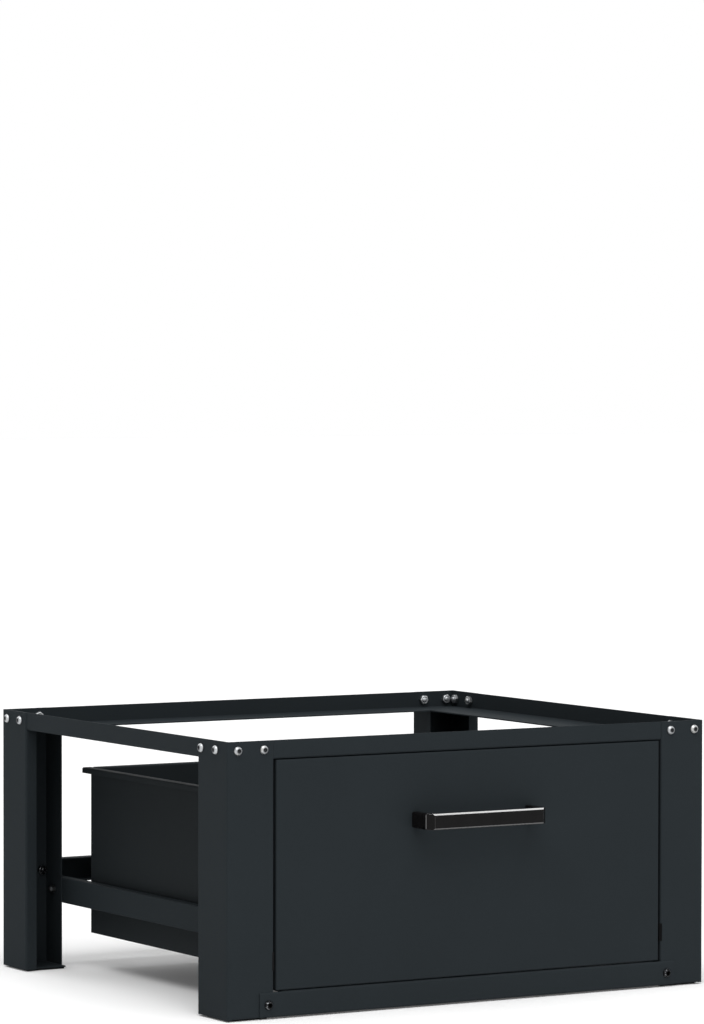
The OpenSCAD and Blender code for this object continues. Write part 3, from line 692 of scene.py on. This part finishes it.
def link_piece(mesh: bpy.types.Mesh, name: str, smooth_below: float) -> bpy.types.Object:
    """Puts a mesh into the scene with smooth shading below an angle.

    Args:
        mesh: The finished mesh.
        name: The piece's name.
        smooth_below: Edges that turn by less than this many degrees are shaded smooth.

    Returns:
        The new object.
    """
    mesh.shade_smooth()
    mesh.set_sharp_from_angle(angle=math.radians(smooth_below))
    piece = bpy.data.objects.new(name, mesh)
    bpy.context.scene.collection.objects.link(piece)
    return piece


def grid_faces(rows: int, columns: int, wrap_rows: bool) -> np.ndarray:
    """Quads of a grid whose columns run round; the rows may run round too.

    Args:
        rows: Number of rings.
        columns: Points of a ring.
        wrap_rows: Whether the last ring joins the first.

    Returns:
        Four indices per quad.
    """
    start = np.arange(rows if wrap_rows else rows - 1)[:, None] * columns
    above = (start + columns) % (rows * columns)
    here = np.arange(columns)[None, :]
    beside = (here + 1) % columns
    return np.stack([start + here, start + beside, above + beside, above + here], -1).reshape(-1, 4)


def turned(radii: np.ndarray, heights: np.ndarray, recess: np.ndarray, ring: bool = False) -> Shape:
    """Surface of rings about Z, where ring i has radius radii[i, k] and height heights[i, k] at angle k.

    Rings run from the foot up along the outside, so that the faces point outwards. An open stack is
    closed by a fan at both ends; a ring-shaped stack joins its last ring to its first.

    Args:
        radii: Radius of each ring at each angle.
        heights: Height of each ring at each angle.
        recess: Recess mark of each ring at each angle.
        ring: Whether the surface is a closed ring with a hole.

    Returns:
        The closed surface.
    """
    rows, columns = radii.shape
    angle = np.arange(columns) * TURN / columns
    points = np.stack([radii * np.cos(angle), radii * np.sin(angle), heights], -1).reshape(-1, 3)
    quads = grid_faces(rows, columns, ring)
    marks = recess.ravel()
    if ring:
        return Shape(points, quads, np.zeros((0, 3), int), marks)
    foot, tip = rows * columns, rows * columns + 1
    ends = np.array([[0.0, 0.0, heights[0].mean()], [0.0, 0.0, heights[-1].mean()]])
    here = np.arange(columns)
    beside = (here + 1) % columns
    last = (rows - 1) * columns
    fans = [
        np.stack([np.full(columns, foot), beside, here], -1),
        np.stack([last + here, last + beside, np.full(columns, tip)], -1),
    ]
    marks = np.concatenate([marks, [recess[0].mean(), recess[-1].mean()]])
    return Shape(np.concatenate([points, ends]), quads, np.concatenate(fans), marks)


def stack(rings: Sequence[tuple], columns: int, ring: bool = False) -> Shape:
    """Turned surface from a list of (radius or radii, height) or (radius, height, recess) rings.

    Args:
        rings: The rings in order from foot to top along the outside; a missing recess mark is 0.
        columns: Points of a ring.
        ring: Whether the last ring joins the first.

    Returns:
        The closed surface.
    """
    full = [(*item, 0.0)[:3] for item in rings]
    tables = [np.array([np.broadcast_to(item[k], columns) for item in full], float) for k in range(3)]
    return turned(*tables, ring)


def hexagon(across_flats: float, columns: int) -> np.ndarray:
    """Radius of a hexagon at each of some angles: half its width over the cosine of the angle to its flat."""
    angle = np.arange(columns) * TURN / columns
    return across_flats / 2 / np.cos((angle + TURN / 12) % (TURN / 6) - TURN / 12)


def chamfered_hexagon(
    across_flats: float, height: float, face: float, shoulders: Sequence[float], columns: int
) -> list[tuple[np.ndarray, float]]:
    """Rings of a hexagon that a cone cuts at both faces: each radius is the smaller of the two.

    Args:
        across_flats: Width of the hexagon.
        height: Distance between its faces.
        face: Width of the cone at a face, as a share of the hexagon's.
        shoulders: Distance of each ring from its face, starting at the face.
        columns: Points of a ring.

    Returns:
        Radii and height of each ring, from foot to top.
    """
    flats = hexagon(across_flats, columns)
    foot = [(np.minimum(flats, across_flats / 2 * face + down * CHAMFER_SLOPE), down) for down in shoulders]
    return foot + [(radii, height - down) for radii, down in reversed(foot)]


def thread(crest: float, depth: float, pitch: float, heights: np.ndarray, columns: int) -> np.ndarray:
    """Radii of a screw thread: the crest less a triangle wave of height minus one turn per pitch.

    Args:
        crest: Largest radius.
        depth: Depth of the groove.
        pitch: Rise of one turn.
        heights: Height of each ring.
        columns: Points of a ring.

    Returns:
        Radius of each ring at each angle.
    """
    share = np.arange(columns)[None, :] / columns
    phase = (heights[:, None] / pitch - share) % 1.0
    return crest - depth * np.abs(2 * phase - 1)


def place_at(point: Sequence[float], out: Sequence[float], spin: float = 0.0) -> Matrix:
    """Move that takes the origin to a point and +Z to the outward direction.

    Args:
        point: Where the seat goes.
        out: Direction that the head faces.
        spin: Turn about that direction, in degrees.

    Returns:
        The rigid move.
    """
    turn = Vector(out).to_track_quat("Z", "Y").to_matrix().to_4x4()
    return Matrix.Translation(Vector(point)) @ turn @ Matrix.Rotation(math.radians(spin), 4, "Z")


# ---------------------------------------------------------------------------------------------
# Fasteners
# ---------------------------------------------------------------------------------------------


@dataclass(frozen=True)
class ButtonBolt:
    """Bolt with a domed head, hexagon socket and a thread that shows behind its nut."""

    head_d: float = 10.5
    head_h: float = 3.6
    dome_from: float = 0.18
    dome_rings: int = 12
    land: float = 0.4
    socket: float = 4.0
    socket_depth: float = 2.0
    drill_depth: float = 0.45
    shank_d: float = 6.0
    shank_l: float = 9.0
    pitch: float = 1.0
    thread_depth: float = 0.5
    threaded: float = 3.4
    point: float = 0.7
    fillet: float = 0.15
    columns: int = 48

    def shape(self) -> Shape:
        """Seat at Z 0. The head is a sphere's cap over a low collar and ends in a flat land.

        The sphere goes through the head's edge and the land's. Recess marks paint shade at the dome's foot
        and the land, and the socket blends from the land to a hexagon.

        Returns:
            The closed surface.
        """
        n = self.columns
        edge, shank = self.head_d / 2, self.shank_d / 2
        land = self.socket / 2 / math.cos(math.pi / 6) + self.land
        sink = (edge**2 - land**2 - self.head_h**2) / (2 * self.head_h)
        rise = np.linspace(self.dome_from, 1.0, self.dome_rings)
        dome_z = rise * self.head_h
        dome_r = np.sqrt(math.hypot(edge, sink) ** 2 - (dome_z + sink) ** 2)
        # Painted shade on the dome: strongest at its foot, fading upwards, rising again towards the land.
        rim_shade = np.maximum(0.8 - 5.0 * (rise - self.dome_from), 3.0 * (rise - 0.8)).clip(0, 1)
        flats = hexagon(self.socket, n)
        floor = self.head_h - self.socket_depth
        tip = -self.shank_l
        thread_z = np.arange(tip + self.point, tip + self.threaded, self.pitch / 8)
        core = shank - self.thread_depth - 0.05
        rings = [
            (core * 0.82, tip),
            (core * 0.96, tip + 0.12),
            *zip(thread(shank, self.thread_depth, self.pitch, thread_z, n), thread_z),
            (shank - 0.04, tip + self.threaded + 0.2),
            (shank - 0.04, -self.fillet),
            (shank + self.fillet, 0.0),
            # Recess marks of 1 paint shade under the head's rim, where it meets the sheet.
            (edge - 0.3, 0.0, 1.0),
            (edge - 0.06, 0.14, 1.0),
            *zip(dome_r, dome_z, rim_shade),
            # The land and the socket are painted dark as shade.
            (land - 0.12, self.head_h, 0.7),
            (flats * 1.07, self.head_h - 0.02, 0.9),
            (flats, self.head_h - 0.22, 0.9),
            (flats, floor + 0.08, 1.0),
            (flats * 0.97, floor, 1.0),
            (flats * 0.30, floor - self.drill_depth, 1.0),
        ]
        return stack(rings, n)


@dataclass(frozen=True)
class HexNut:
    """Hexagon nut with chamfered corners and a threaded bore."""

    across: float = 10.0
    height: float = 4.5
    bore_d: float = 6.6
    pitch: float = 1.0
    thread_depth: float = 0.35
    mouth: float = 0.25
    lead: float = 0.3
    face: float = 0.96
    shoulders: tuple[float, ...] = (0.0, 0.15, 0.35, 0.55, 0.8)
    columns: int = 48

    def shape(self) -> Shape:
        """Foot at Z 0. The outside runs up a chamfered hexagon, and back down the thread of the bore.

        Returns:
            The closed surface.
        """
        n = self.columns
        turns = (self.height - 2 * self.lead) / self.pitch
        rows = np.linspace(self.height - self.lead, self.lead, int(turns * 6))
        bore = thread(self.bore_d / 2, self.thread_depth, self.pitch, rows, n)
        mouth = self.bore_d / 2 + self.mouth
        rings = [
            *chamfered_hexagon(self.across, self.height, self.face, self.shoulders, n),
            # Recess marks paint shade at the bore's mouth and down its thread.
            (mouth, self.height, 0.4),
            *zip(bore, rows, np.full(len(rows), 0.9)),
            (mouth, 0.0, 0.4),
        ]
        return stack(rings, n, ring=True)


@dataclass(frozen=True)
class CapNut:
    """Closed nut with a round cap."""

    across: float = 8.0
    height: float = 4.5
    face: float = 0.97
    shoulders: tuple[float, ...] = (0.0, 0.2, 0.45, 0.7)
    cap: float = 0.46
    cap_rings: int = 12
    columns: int = 48

    def shape(self) -> Shape:
        """Foot at Z 0. A chamfered hexagon carries a hemisphere of a share of its width.

        Returns:
            The closed surface.
        """
        cap = self.across * self.cap
        lift = np.linspace(0.06, 0.985, self.cap_rings) * math.pi / 2
        rings = [
            *chamfered_hexagon(self.across, self.height, self.face, self.shoulders, self.columns),
            # Recess mark paints shade where the cap meets the hexagon.
            (cap + 0.12, self.height, 0.8),
            *zip(cap * np.cos(lift), self.height + cap * np.sin(lift)),
        ]
        return stack(rings, self.columns)


@dataclass(frozen=True)
class PanScrew:
    """Pan-head screw with a cross recess and a thread. Radii of its head are shares of the head's edge."""

    head_d: float = 7.5
    head_h: float = 2.2
    crown: float = 0.55
    top_rings: tuple[float, ...] = (0.96, 0.86, 0.74, 0.64, 0.56, 0.5, 0.44, 0.36, 0.28, 0.2, 0.12)
    cross_depth: float = 1.25
    wing_w: float = 0.62
    wing_fade: float = 0.16
    wing_reach: float = 0.60
    wing_end_fade: float = 0.12
    core_reach: float = 0.34
    core_fade: float = 0.10
    shank_d: float = 4.0
    shank_l: float = 6.2
    pitch: float = 0.7
    thread_depth: float = 0.38
    columns: int = 64

    def shape(self) -> Shape:
        """Seat at Z 0. The head's top sinks by a cross of two wedges that fade out towards the rim.

        Returns:
            The closed surface.
        """
        n = self.columns
        edge, shank, tip = self.head_d / 2, self.shank_d / 2, -self.shank_l
        angle = np.arange(n) * TURN / n
        thread_z = np.arange(tip + 0.5, -0.3, self.pitch / 7)
        share = np.array(self.top_rings)[:, None]
        off_wing = np.minimum(np.abs(np.sin(angle)), np.abs(np.cos(angle)))[None, :]
        wing = np.clip((self.wing_w - share * edge * off_wing) / self.wing_fade, 0, 1)
        reach = np.clip((self.wing_reach - share) / self.wing_end_fade, 0, 1)
        core = np.clip((self.core_reach - share) / self.core_fade, 0, 1)
        sunk = np.maximum(wing * reach, core)
        top_z = self.head_h - self.crown * share**4 - self.cross_depth * sunk
        rings = [
            (shank - 0.7, tip),
            *zip(thread(shank, self.thread_depth, self.pitch, thread_z, n), thread_z),
            (shank, -0.1),
            (shank + 0.1, 0.0),
            (edge - 0.25, 0.0),
            (edge - 0.03, 0.15),
            (edge, 0.5),
            (edge * 0.995, 1.0),
            # The cross is also the recess mark: finishes paint shade into it.
            *zip(share * edge, top_z, sunk),
        ]
        return stack(rings, n)


# ---------------------------------------------------------------------------------------------
# Sub-assemblies
# ---------------------------------------------------------------------------------------------


class Assembly(ABC):
    """A sub-assembly that makes its pieces and dresses its nodes."""

    body: ClassVar[str]
    spin_step: ClassVar[float] = 11.0

    @abstractmethod
    def build(self) -> None:
        """Makes the pieces and dresses the nodes."""

    def add(self, piece: bpy.types.Object, finish: Finishes, slot: str, node: str) -> None:
        """Finishes a piece, puts it on the assembly's body and lets it stand for a node.

        Args:
            piece: The new piece.
            finish: Its finish.
            slot: Name of a material slot; not used.
            node: The node that it stands for.
        """
        piece.data.materials.clear()
        piece.data.materials.append(finish.material)
        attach(piece, self.body)
        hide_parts(node)
        LOG.info("piece %s: %d faces, %s", piece.name, len(piece.data.polygons), finish.name.lower())

    def soften(self, nodes: Sequence[str], width: float, finish: Finishes, slot: str) -> None:
        """Puts copies with rounded edges in place of sheet nodes.

        Args:
            nodes: Names of the nodes.
            width: Width of the rounding, in millimetres.
            finish: Their finish.
            slot: Name of a material slot, handed on to add.
        """
        for node in nodes:
            work = merged(node)
            ease_sharp(work, width)
            self.add(soft_piece(work, node), finish, slot, node)

    def repeat(
        self,
        name: str,
        shape: Shape,
        seats: Sequence[Seat],
        finish: Finishes,
        slot: str,
        node: str,
        inwards: float = 0.0,
    ) -> None:
        """Puts one shape at many seats as a single piece, each copy turned a little further than the last.

        Args:
            name: The piece's name.
            shape: The fastener, seat at Z 0.
            seats: Seat and outward direction of each copy.
            finish: Its finish.
            slot: Name of a material slot, handed on to add.
            node: The node that it stands for.
            inwards: How far each copy lies inside its seat.
        """
        copies = [
            shape.moved(place_at(seat - out * inwards, out, spin=self.spin_step * k))
            for k, (seat, out) in enumerate(seats)
        ]
        self.add(Shape.joined(copies).piece(name), finish, slot, node)


def dress(nodes: Sequence[str], finish: Finishes) -> None:
    """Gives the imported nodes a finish.

    Args:
        nodes: Names of the nodes.
        finish: The finish.
    """
    for node in nodes:
        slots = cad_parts[node].data.materials
        if not slots:
            slots.append(finish.material)
        for k in range(len(slots)):
            slots[k] = finish.material
        LOG.info("node %s: %s", node, finish.name.lower())


def merged(node: str) -> bmesh.types.BMesh:
    """Copy of a node as one closed mesh, whose loose triangles are merged and flat areas joined.

    Args:
        node: Name of the node.

    Returns:
        The working mesh.
    """
    work = bmesh.new()
    work.from_mesh(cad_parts[node].data)
    bmesh.ops.remove_doubles(work, verts=work.verts, dist=SAME_PLACE * MM)
    bmesh.ops.dissolve_limit(work, angle_limit=math.radians(FLAT_BELOW), verts=work.verts, edges=work.edges)
    return work


def ease(work: bmesh.types.BMesh, edges: Sequence[bmesh.types.BMEdge], width: float, segments: int) -> None:
    """Rounds edges.

    Args:
        work: The working mesh.
        edges: Which edges.
        width: Width of the rounding, in millimetres.
        segments: Faces across the rounding.
    """
    bmesh.ops.bevel(
        work, geom=edges, offset=width * MM, segments=segments,
        profile=0.5, affect="EDGES", clamp_overlap=True,
    )


def ease_sharp(work: bmesh.types.BMesh, width: float, segments: int = 2) -> None:
    """Rounds every edge that turns sharply, as paint rounds it.

    Args:
        work: The working mesh.
        width: Width of the rounding, in millimetres.
        segments: Faces across the rounding.
    """
    limit = math.radians(SHARP_ABOVE)
    sharp = [edge for edge in work.edges if len(edge.link_faces) == 2 and edge.calc_face_angle(0.0) > limit]
    ease(work, sharp, width, segments)


def soft_piece(work: bmesh.types.BMesh, node: str) -> bpy.types.Object:
    """Turns a working mesh into a piece with even normals.

    Args:
        work: The working mesh; it is freed.
        node: Name of the node that it came from.

    Returns:
        The new object, not yet on a body.
    """
    mesh = bpy.data.meshes.new(node + "_soft")
    work.to_mesh(mesh)
    work.free()
    piece = link_piece(mesh, node + "_soft", smooth_below=50.0)
    weighted = piece.modifiers.new("even_normals", "WEIGHTED_NORMAL")
    weighted.keep_sharp = True
    return piece


def both_sides(
    x: float, ys: Sequence[float], zs: Sequence[float], out: Sequence[float] | None = None
) -> list[Seat]:
    """Seats at -x and +x for each y and each z, in millimetres.

    Args:
        x: Distance from the middle plane.
        ys: Places along Y.
        zs: Places along Z.
        out: Direction that the heads face; without it they face away from the middle plane.

    Returns:
        Seat and outward direction of each.
    """
    return [
        (Vector((side * x, y, z)), Vector(out or (side, 0, 0)))
        for side in (-1, 1) for y in ys for z in zs
    ]


@dataclass
class Stand(Assembly):
    """The bolted stand: legs, rails, pads, runners and their fasteners.

    Lengths are in millimetres. A name with _in gives how far bolts sit from a corner, an edge or an end,
    and bolt_down how far below the rim.
    """

    sheet: float = 1.5
    edge: float = 0.3
    bolt_in: tuple[float, float] = (13.0, 45.7)
    front_side_bolt_in: tuple[float, float] = (26.0, 58.7)
    bolt_down: float = 10.0
    cross_bolt_in: float = 7.5
    runner_bolt_in: float = 8.5
    body: ClassVar[str] = "stand"
    sheets: ClassVar[tuple[str, ...]] = (
        "front_left_leg", "front_right_leg", "rear_left_leg", "rear_right_leg",
        "front_top_rail", "rear_top_rail", "left_top_rail", "right_top_rail",
        "front_bottom_rail", "rear_cross_rail", "left_runner_rail", "right_runner_rail",
    )
    # edge_buffers are black inserts in the front legs' notches, a dark thing put where the notch shows shade.
    rubber: ClassVar[tuple[str, ...]] = (
        "front_left_pad", "front_right_pad", "rear_left_pad", "rear_right_pad",
        "slide_bumpers", "edge_buffers",
    )

    def build(self) -> None:
        """Rounds the sheet edges, dresses the pads and swaps in detailed fasteners."""
        self.soften(self.sheets, self.edge, Finishes.FRAME, "frame_coat")
        dress(["slide_rivets"], Finishes.FRAME)
        dress(self.rubber, Finishes.RUBBER)
        dress(["runner_bolts"], Finishes.ZINC)
        bolt, nut = ButtonBolt().shape(), HexNut().shape()
        behind = 2 * self.sheet + HexNut().height
        for kind, nodes, seats, finish, slot in (
            ("corner", "corner", self.corner_seats(), Finishes.ZINC, "zinc"),
            ("cross", "cross_rail", self.cross_seats(), Finishes.BLACK_BOLT, "black_bolt"),
        ):
            self.repeat(f"{kind}_bolt_set", bolt, seats, finish, slot, f"{nodes}_bolts")
            self.repeat(f"{kind}_nut_set", nut, seats, finish, slot, f"{nodes}_nuts", behind)
        # The cap nuts get the darkened zinc, which is painted shade.
        cap, seats = CapNut().shape(), self.runner_nut_seats()
        self.repeat("runner_nut_set", cap, seats, Finishes.ZINC_PAINTED_SHADE, "zinc", "runner_nuts")

    def corner_seats(self) -> list[Seat]:
        """Seats of the sixteen corner bolts, in pairs on an end face and a side face.

        Returns:
            Seat and outward direction of each.
        """
        low, high = box_mm("front_left_leg")[0], box_mm("rear_right_leg")[1]
        z = high.z - self.bolt_down
        seats: list[Seat] = []
        for side, face_x in ((-1, low.x), (1, high.x)):
            for end, face_y in ((-1, low.y), (1, high.y)):
                along = self.front_side_bolt_in if end < 0 else self.bolt_in
                for inset, side_inset in zip(self.bolt_in, along):
                    seats.append((Vector((face_x - side * inset, face_y, z)), Vector((0, end, 0))))
                    seats.append((Vector((face_x, face_y - end * side_inset, z)), Vector((side, 0, 0))))
        return seats

    def cross_seats(self) -> list[Seat]:
        """Seats of the bolts that hold the front bottom rail and the rear cross rail to the legs.

        Returns:
            Seat and outward direction of each.
        """
        x = box_mm("rear_right_leg")[0].x + self.cross_bolt_in
        front, rear = box_mm("front_bottom_rail"), box_mm("rear_cross_rail")
        return [
            *both_sides(x, [front[0].y], [middle(front).z], (0, -1, 0)),
            *both_sides(x, [rear[1].y], [middle(rear).z], (0, 1, 0)),
        ]

    def runner_nut_seats(self) -> list[Seat]:
        """Seats of the runners' cap nuts, on the outer face of the legs' returns.

        Returns:
            Seat and outward direction of each.
        """
        low, high = runner = box_mm("right_runner_rail")
        places = (low.y + self.runner_bolt_in, high.y - self.runner_bolt_in)
        return both_sides(high.x + self.sheet, places, [middle(runner).z])


@dataclass
class Slides(Assembly):
    """The two telescopic slides with their cages and balls, which keep their nodes' shapes."""

    def build(self) -> None:
        """Dresses the drawn members, the cages and the balls."""
        for side in ("left", "right"):
            dress([f"{side}_slide_{part}" for part in ("outer", "middle", "inner")], Finishes.DRAWN_ZINC)
            dress([f"{side}_{part}_cage" for part in ("outer", "inner")], Finishes.CAGE)
            dress([f"{side}_{part}_balls" for part in ("outer", "inner")], Finishes.BALL)


@dataclass
class Drawer(Assembly):
    """The drawer: box, front panel, handle and screws.

    Lengths are in millimetres. A name with _in gives how far screws sit from a sheet's or the bar's end,
    and slide_screw_front and _rear how far from the ends of the slide's inner member. An upright edge
    of the bar is an end edge if it is longer than handle_end_h and within handle_front of the bar's face.
    """

    sheet: float = 1.0
    panel_sheet: float = 1.2
    edge: float = 0.25
    front_screw_in: float = 4.9
    front_screw_z: tuple[float, float, float] = (70.0, 148.0, 215.0)
    slide_screw_front: float = 28.0
    slide_screw_rear: float = 40.0
    handle_screw_in: float = 4.5
    handle_end: float = 1.3
    handle_edge: float = 0.3
    handle_front: float = 12.0
    handle_end_h: float = 8.0
    body: ClassVar[str] = "drawer"
    box: ClassVar[tuple[str, ...]] = (
        "drawer_left_side", "drawer_right_side", "drawer_floor", "drawer_front_wall", "drawer_rear_wall",
    )

    def build(self) -> None:
        """Rounds the sheet edges and dresses the handle and the screws."""
        # The box gets the darker copy of the frame's coat, which is painted shade.
        self.soften(self.box, self.edge, Finishes.BOX_PAINTED_SHADE, "box_coat")
        self.soften(["drawer_front"], self.edge, Finishes.FRAME, "frame_coat")
        self.add(self.handle(), Finishes.HANDLE, "handle_black", "handle_bar")
        nut = HexNut(across=7.0, height=3.2, bore_d=4.6, pitch=0.7)
        behind = 2 * self.sheet + nut.height
        for kind, shape, seats, inwards in (
            ("front_screw", PanScrew(shank_l=6.2).shape(), self.front_seats(), 0.0),
            ("slide_screw", PanScrew(shank_l=5.8).shape(), self.slide_seats(), 0.0),
            ("slide_nut", nut.shape(), self.slide_seats(), behind),
            ("handle_screw", PanScrew(shank_l=15.2).shape(), self.handle_seats(), 0.0),
        ):
            self.repeat(f"{kind}_set", shape, seats, Finishes.ZINC, "zinc", f"{kind}s", inwards)

    def front_seats(self) -> list[Seat]:
        """Seats of the screws that hold the front panel, inside the drawer's front wall.

        Returns:
            Seat and outward direction of each.
        """
        low, high = box_mm("drawer_front_wall")
        return both_sides(high.x - self.front_screw_in, [low.y + self.sheet], self.front_screw_z, (0, 1, 0))

    def slide_seats(self) -> list[Seat]:
        """Seats of the screws that hold the slides' inner members, in their channels.

        Returns:
            Seat and outward direction of each.
        """
        low, high = member = box_mm("left_slide_inner")
        centre = middle(member)
        places = (low.y + self.slide_screw_front, centre.y, high.y - self.slide_screw_rear)
        return both_sides(-high.x + self.sheet, places, [centre.z])

    def handle_seats(self) -> list[Seat]:
        """Seats of the two handle screws, inside the front panel.

        Returns:
            Seat and outward direction of each.
        """
        bar = box_mm("handle_bar")
        y = box_mm("drawer_front")[0].y + self.panel_sheet
        return both_sides(bar[1].x - self.handle_screw_in, [y], [middle(bar).z], (0, 1, 0))

    def handle(self) -> bpy.types.Object:
        """Handle bar whose upright end edges are cut wider than the rest.

        Each face is marked by how bright its cut is painted: the slanting faces above most, as painted
        highlight, those below less, and the upright ones beside the end chamfers least. Its normal says which
        of them a face is.

        Returns:
            The new object, not yet on a body.
        """
        work = merged("handle_bar")
        outermost = max(abs(v.co.x) for v in work.verts) - 0.01 * MM
        nearest = min(v.co.y for v in work.verts) + self.handle_front * MM
        ends = [
            edge for edge in work.edges
            if all(abs(v.co.x) > outermost and v.co.y < nearest for v in edge.verts)
            and abs(edge.verts[0].co.z - edge.verts[1].co.z) > self.handle_end_h * MM
        ]
        ease(work, ends, self.handle_end, 1)
        ease_sharp(work, self.handle_edge, 1)
        piece = soft_piece(work, "handle_bar")
        normals = np.zeros(3 * len(piece.data.polygons), np.float32)
        piece.data.polygons.foreach_get("normal", normals)
        x, y, z = normals.reshape(-1, 3).T
        sideways = np.abs(x)
        slant = (y < -0.2) & (sideways < 0.75)
        upright = (np.abs(z) < 0.2) & (y < -0.1)
        # Painted highlight: upper cut faces are painted brighter than lower and upright ones.
        painted_highlights = {
            0.72: slant & (z > 0.3) & (z < 0.95),
            0.15: slant & (z < -0.3) & (z > -0.95),
            0.13: upright & (sideways > 0.8) & (sideways < 0.97),
            0.07: upright & (sideways > 0.2) & (sideways < 0.6),
        }
        cut_and_highlight = np.select(list(painted_highlights.values()), list(painted_highlights.keys()), 0.0)
        mark(piece.data, CUT_AND_HIGHLIGHT, "FACE", cut_and_highlight)
        LOG.info("handle: %d end edges, %d cut faces", len(ends), int((cut_and_highlight > 0).sum()))
        return piece


# ---------------------------------------------------------------------------------------------
# Studio
# ---------------------------------------------------------------------------------------------


@dataclass(frozen=True)
class PhotoCamera:
    """The photograph's camera, solved from the stand's own corners."""

    position: tuple[float, float, float] = (-2.78869, -4.66467, 0.72870)
    yaw: float = 0.538115
    pitch: float = 0.0340486
    roll: float = 0.00151776
    lens: float = 163.942
    sensor: float = 36.0
    reach: tuple[float, float] = (0.05, 60.0)

    def build(self) -> None:
        """Makes the camera: it looks along yaw from +Y towards +X and pitch below the horizon."""
        east, north = math.sin(self.yaw), math.cos(self.yaw)
        flat, down = math.cos(self.pitch), math.sin(self.pitch)
        ahead = Vector((east * flat, north * flat, -down))
        level = Vector((north, -east, 0.0))
        over = level.cross(ahead)
        right = math.cos(self.roll) * level + math.sin(self.roll) * over
        up = math.cos(self.roll) * over - math.sin(self.roll) * level
        data = bpy.data.cameras.new("photo_camera")
        data.lens, data.sensor_width, data.sensor_fit = self.lens, self.sensor, "AUTO"
        data.clip_start, data.clip_end = self.reach
        camera = bpy.data.objects.new("photo_camera", data)
        turn = Matrix((right, up, -ahead)).transposed().to_4x4()
        camera.matrix_world = Matrix.Translation(Vector(self.position)) @ turn
        bpy.context.scene.collection.objects.link(camera)
        bpy.context.scene.camera = camera
        LOG.info("camera at %s", self.position)


@dataclass(frozen=True)
class SoftSun:
    """A broad distant light."""

    name: str
    toward: tuple[float, float, float]
    strength: float
    spread: float

    def build(self) -> None:
        """Makes the light, shining along its direction."""
        data = bpy.data.lights.new(self.name, "SUN")
        data.energy, data.angle = self.strength, math.radians(self.spread)
        light = bpy.data.objects.new(self.name, data)
        light.rotation_mode = "QUATERNION"
        light.rotation_quaternion = Vector(self.toward).to_track_quat("-Z", "Y")
        bpy.context.scene.collection.objects.link(light)
        LOG.info("light %s: strength %.2f", self.name, self.strength)


@dataclass(frozen=True)
class Studio:
    """Pale floor, white surroundings that turn grey overhead, and soft light from above and three sides."""

    floor_colour: Colour = (0.93, 0.93, 0.93)
    floor_lift: float = 0.08
    floor_reach: float = 30.0
    paper_grain: float = 2.0
    ambient: float = 0.20
    overhead: Colour = (0.30, 0.30, 0.30)
    lights: tuple[SoftSun, ...] = (
        SoftSun("overhead", (0.26, 0.30, -1.0), 2.25, 58.0),
        SoftSun("front_fill", (0.0, 0.95, -0.45), 0.96, 62.0),
        SoftSun("back_fill", (0.10, -0.95, -0.75), 0.62, 45.0),
        SoftSun("right_fill", (-0.95, 0.10, -0.75), 0.42, 45.0),
    )

    def build(self) -> None:
        """Makes floor, world and lights."""
        self._floor()
        self._world()
        for light in self.lights:
            light.build()

    def _floor(self) -> None:
        """A wide floor that is lifted towards white for the camera and in reflections, and keeps shadows."""
        reach = self.floor_reach
        mesh = bpy.data.meshes.new("studio_floor")
        corners = [(-reach, -reach, 0), (reach, -reach, 0), (reach, reach, 0), (-reach, reach, 0)]
        mesh.from_pydata(corners, [], [(0, 1, 2, 3)])
        floor = bpy.data.objects.new("studio_floor", mesh)
        bpy.context.scene.collection.objects.link(floor)
        graph = ShaderGraph(bpy.data.materials.new("studio_floor"))
        paper = graph.noise(graph.place(), self.paper_grain * MM, detail=2.0)
        tint = graph.between(paper, shade(self.floor_colour, 0.99), shade(self.floor_colour, 1.01))
        plain = graph.add("ShaderNodeBsdfDiffuse", {}, {"Color": tint})
        glow = graph.add("ShaderNodeEmission", {}, {"Strength": self.floor_lift})
        lifted = graph.add("ShaderNodeAddShader", {}, {0: plain, 1: glow})
        mesh.materials.append(graph.finish(graph.mixed(self._seen(graph), plain, lifted)))
        LOG.info("floor made")

    @staticmethod
    def _seen(graph: ShaderGraph) -> Wire:
        """1 for rays from the camera, reflections and clear materials, else 0."""
        rays = graph.add("ShaderNodeLightPath", {}, {}, "Is Camera Ray")
        return rays.either(rays.beside("Is Glossy Ray")).either(rays.beside("Is Transmission Ray"))

    def _world(self) -> None:
        """White that turns grey overhead for what is seen, and a dimmer white for what lights the object."""
        world = bpy.data.worlds.new("studio_world")
        bpy.context.scene.world = world
        graph = ShaderGraph(world)
        _, _, up = graph.add("ShaderNodeTexCoord", {}, {}, "Generated").split()
        around = graph.between(up.rise(0.25, 0.85), (1.0, 1.0, 1.0), self.overhead)
        plain = (1.0, 1.0, 1.0, 1.0)
        dim = graph.add("ShaderNodeBackground", {}, {"Color": plain, "Strength": self.ambient})
        white = graph.add("ShaderNodeBackground", {}, {"Color": around, "Strength": 1.0})
        graph.finish(graph.mixed(self._seen(graph), dim, white))
        LOG.info("world made")


def main() -> None:
    """Builds the studio and every sub-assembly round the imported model."""
    logging.basicConfig(level=logging.INFO, format="%(message)s")
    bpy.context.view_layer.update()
    bpy.context.scene.view_settings.view_transform = "Standard"
    PhotoCamera().build()
    Studio().build()
    for assembly in (Stand(), Slides(), Drawer()):
        assembly.build()


if __name__ == "__main__":
    main()
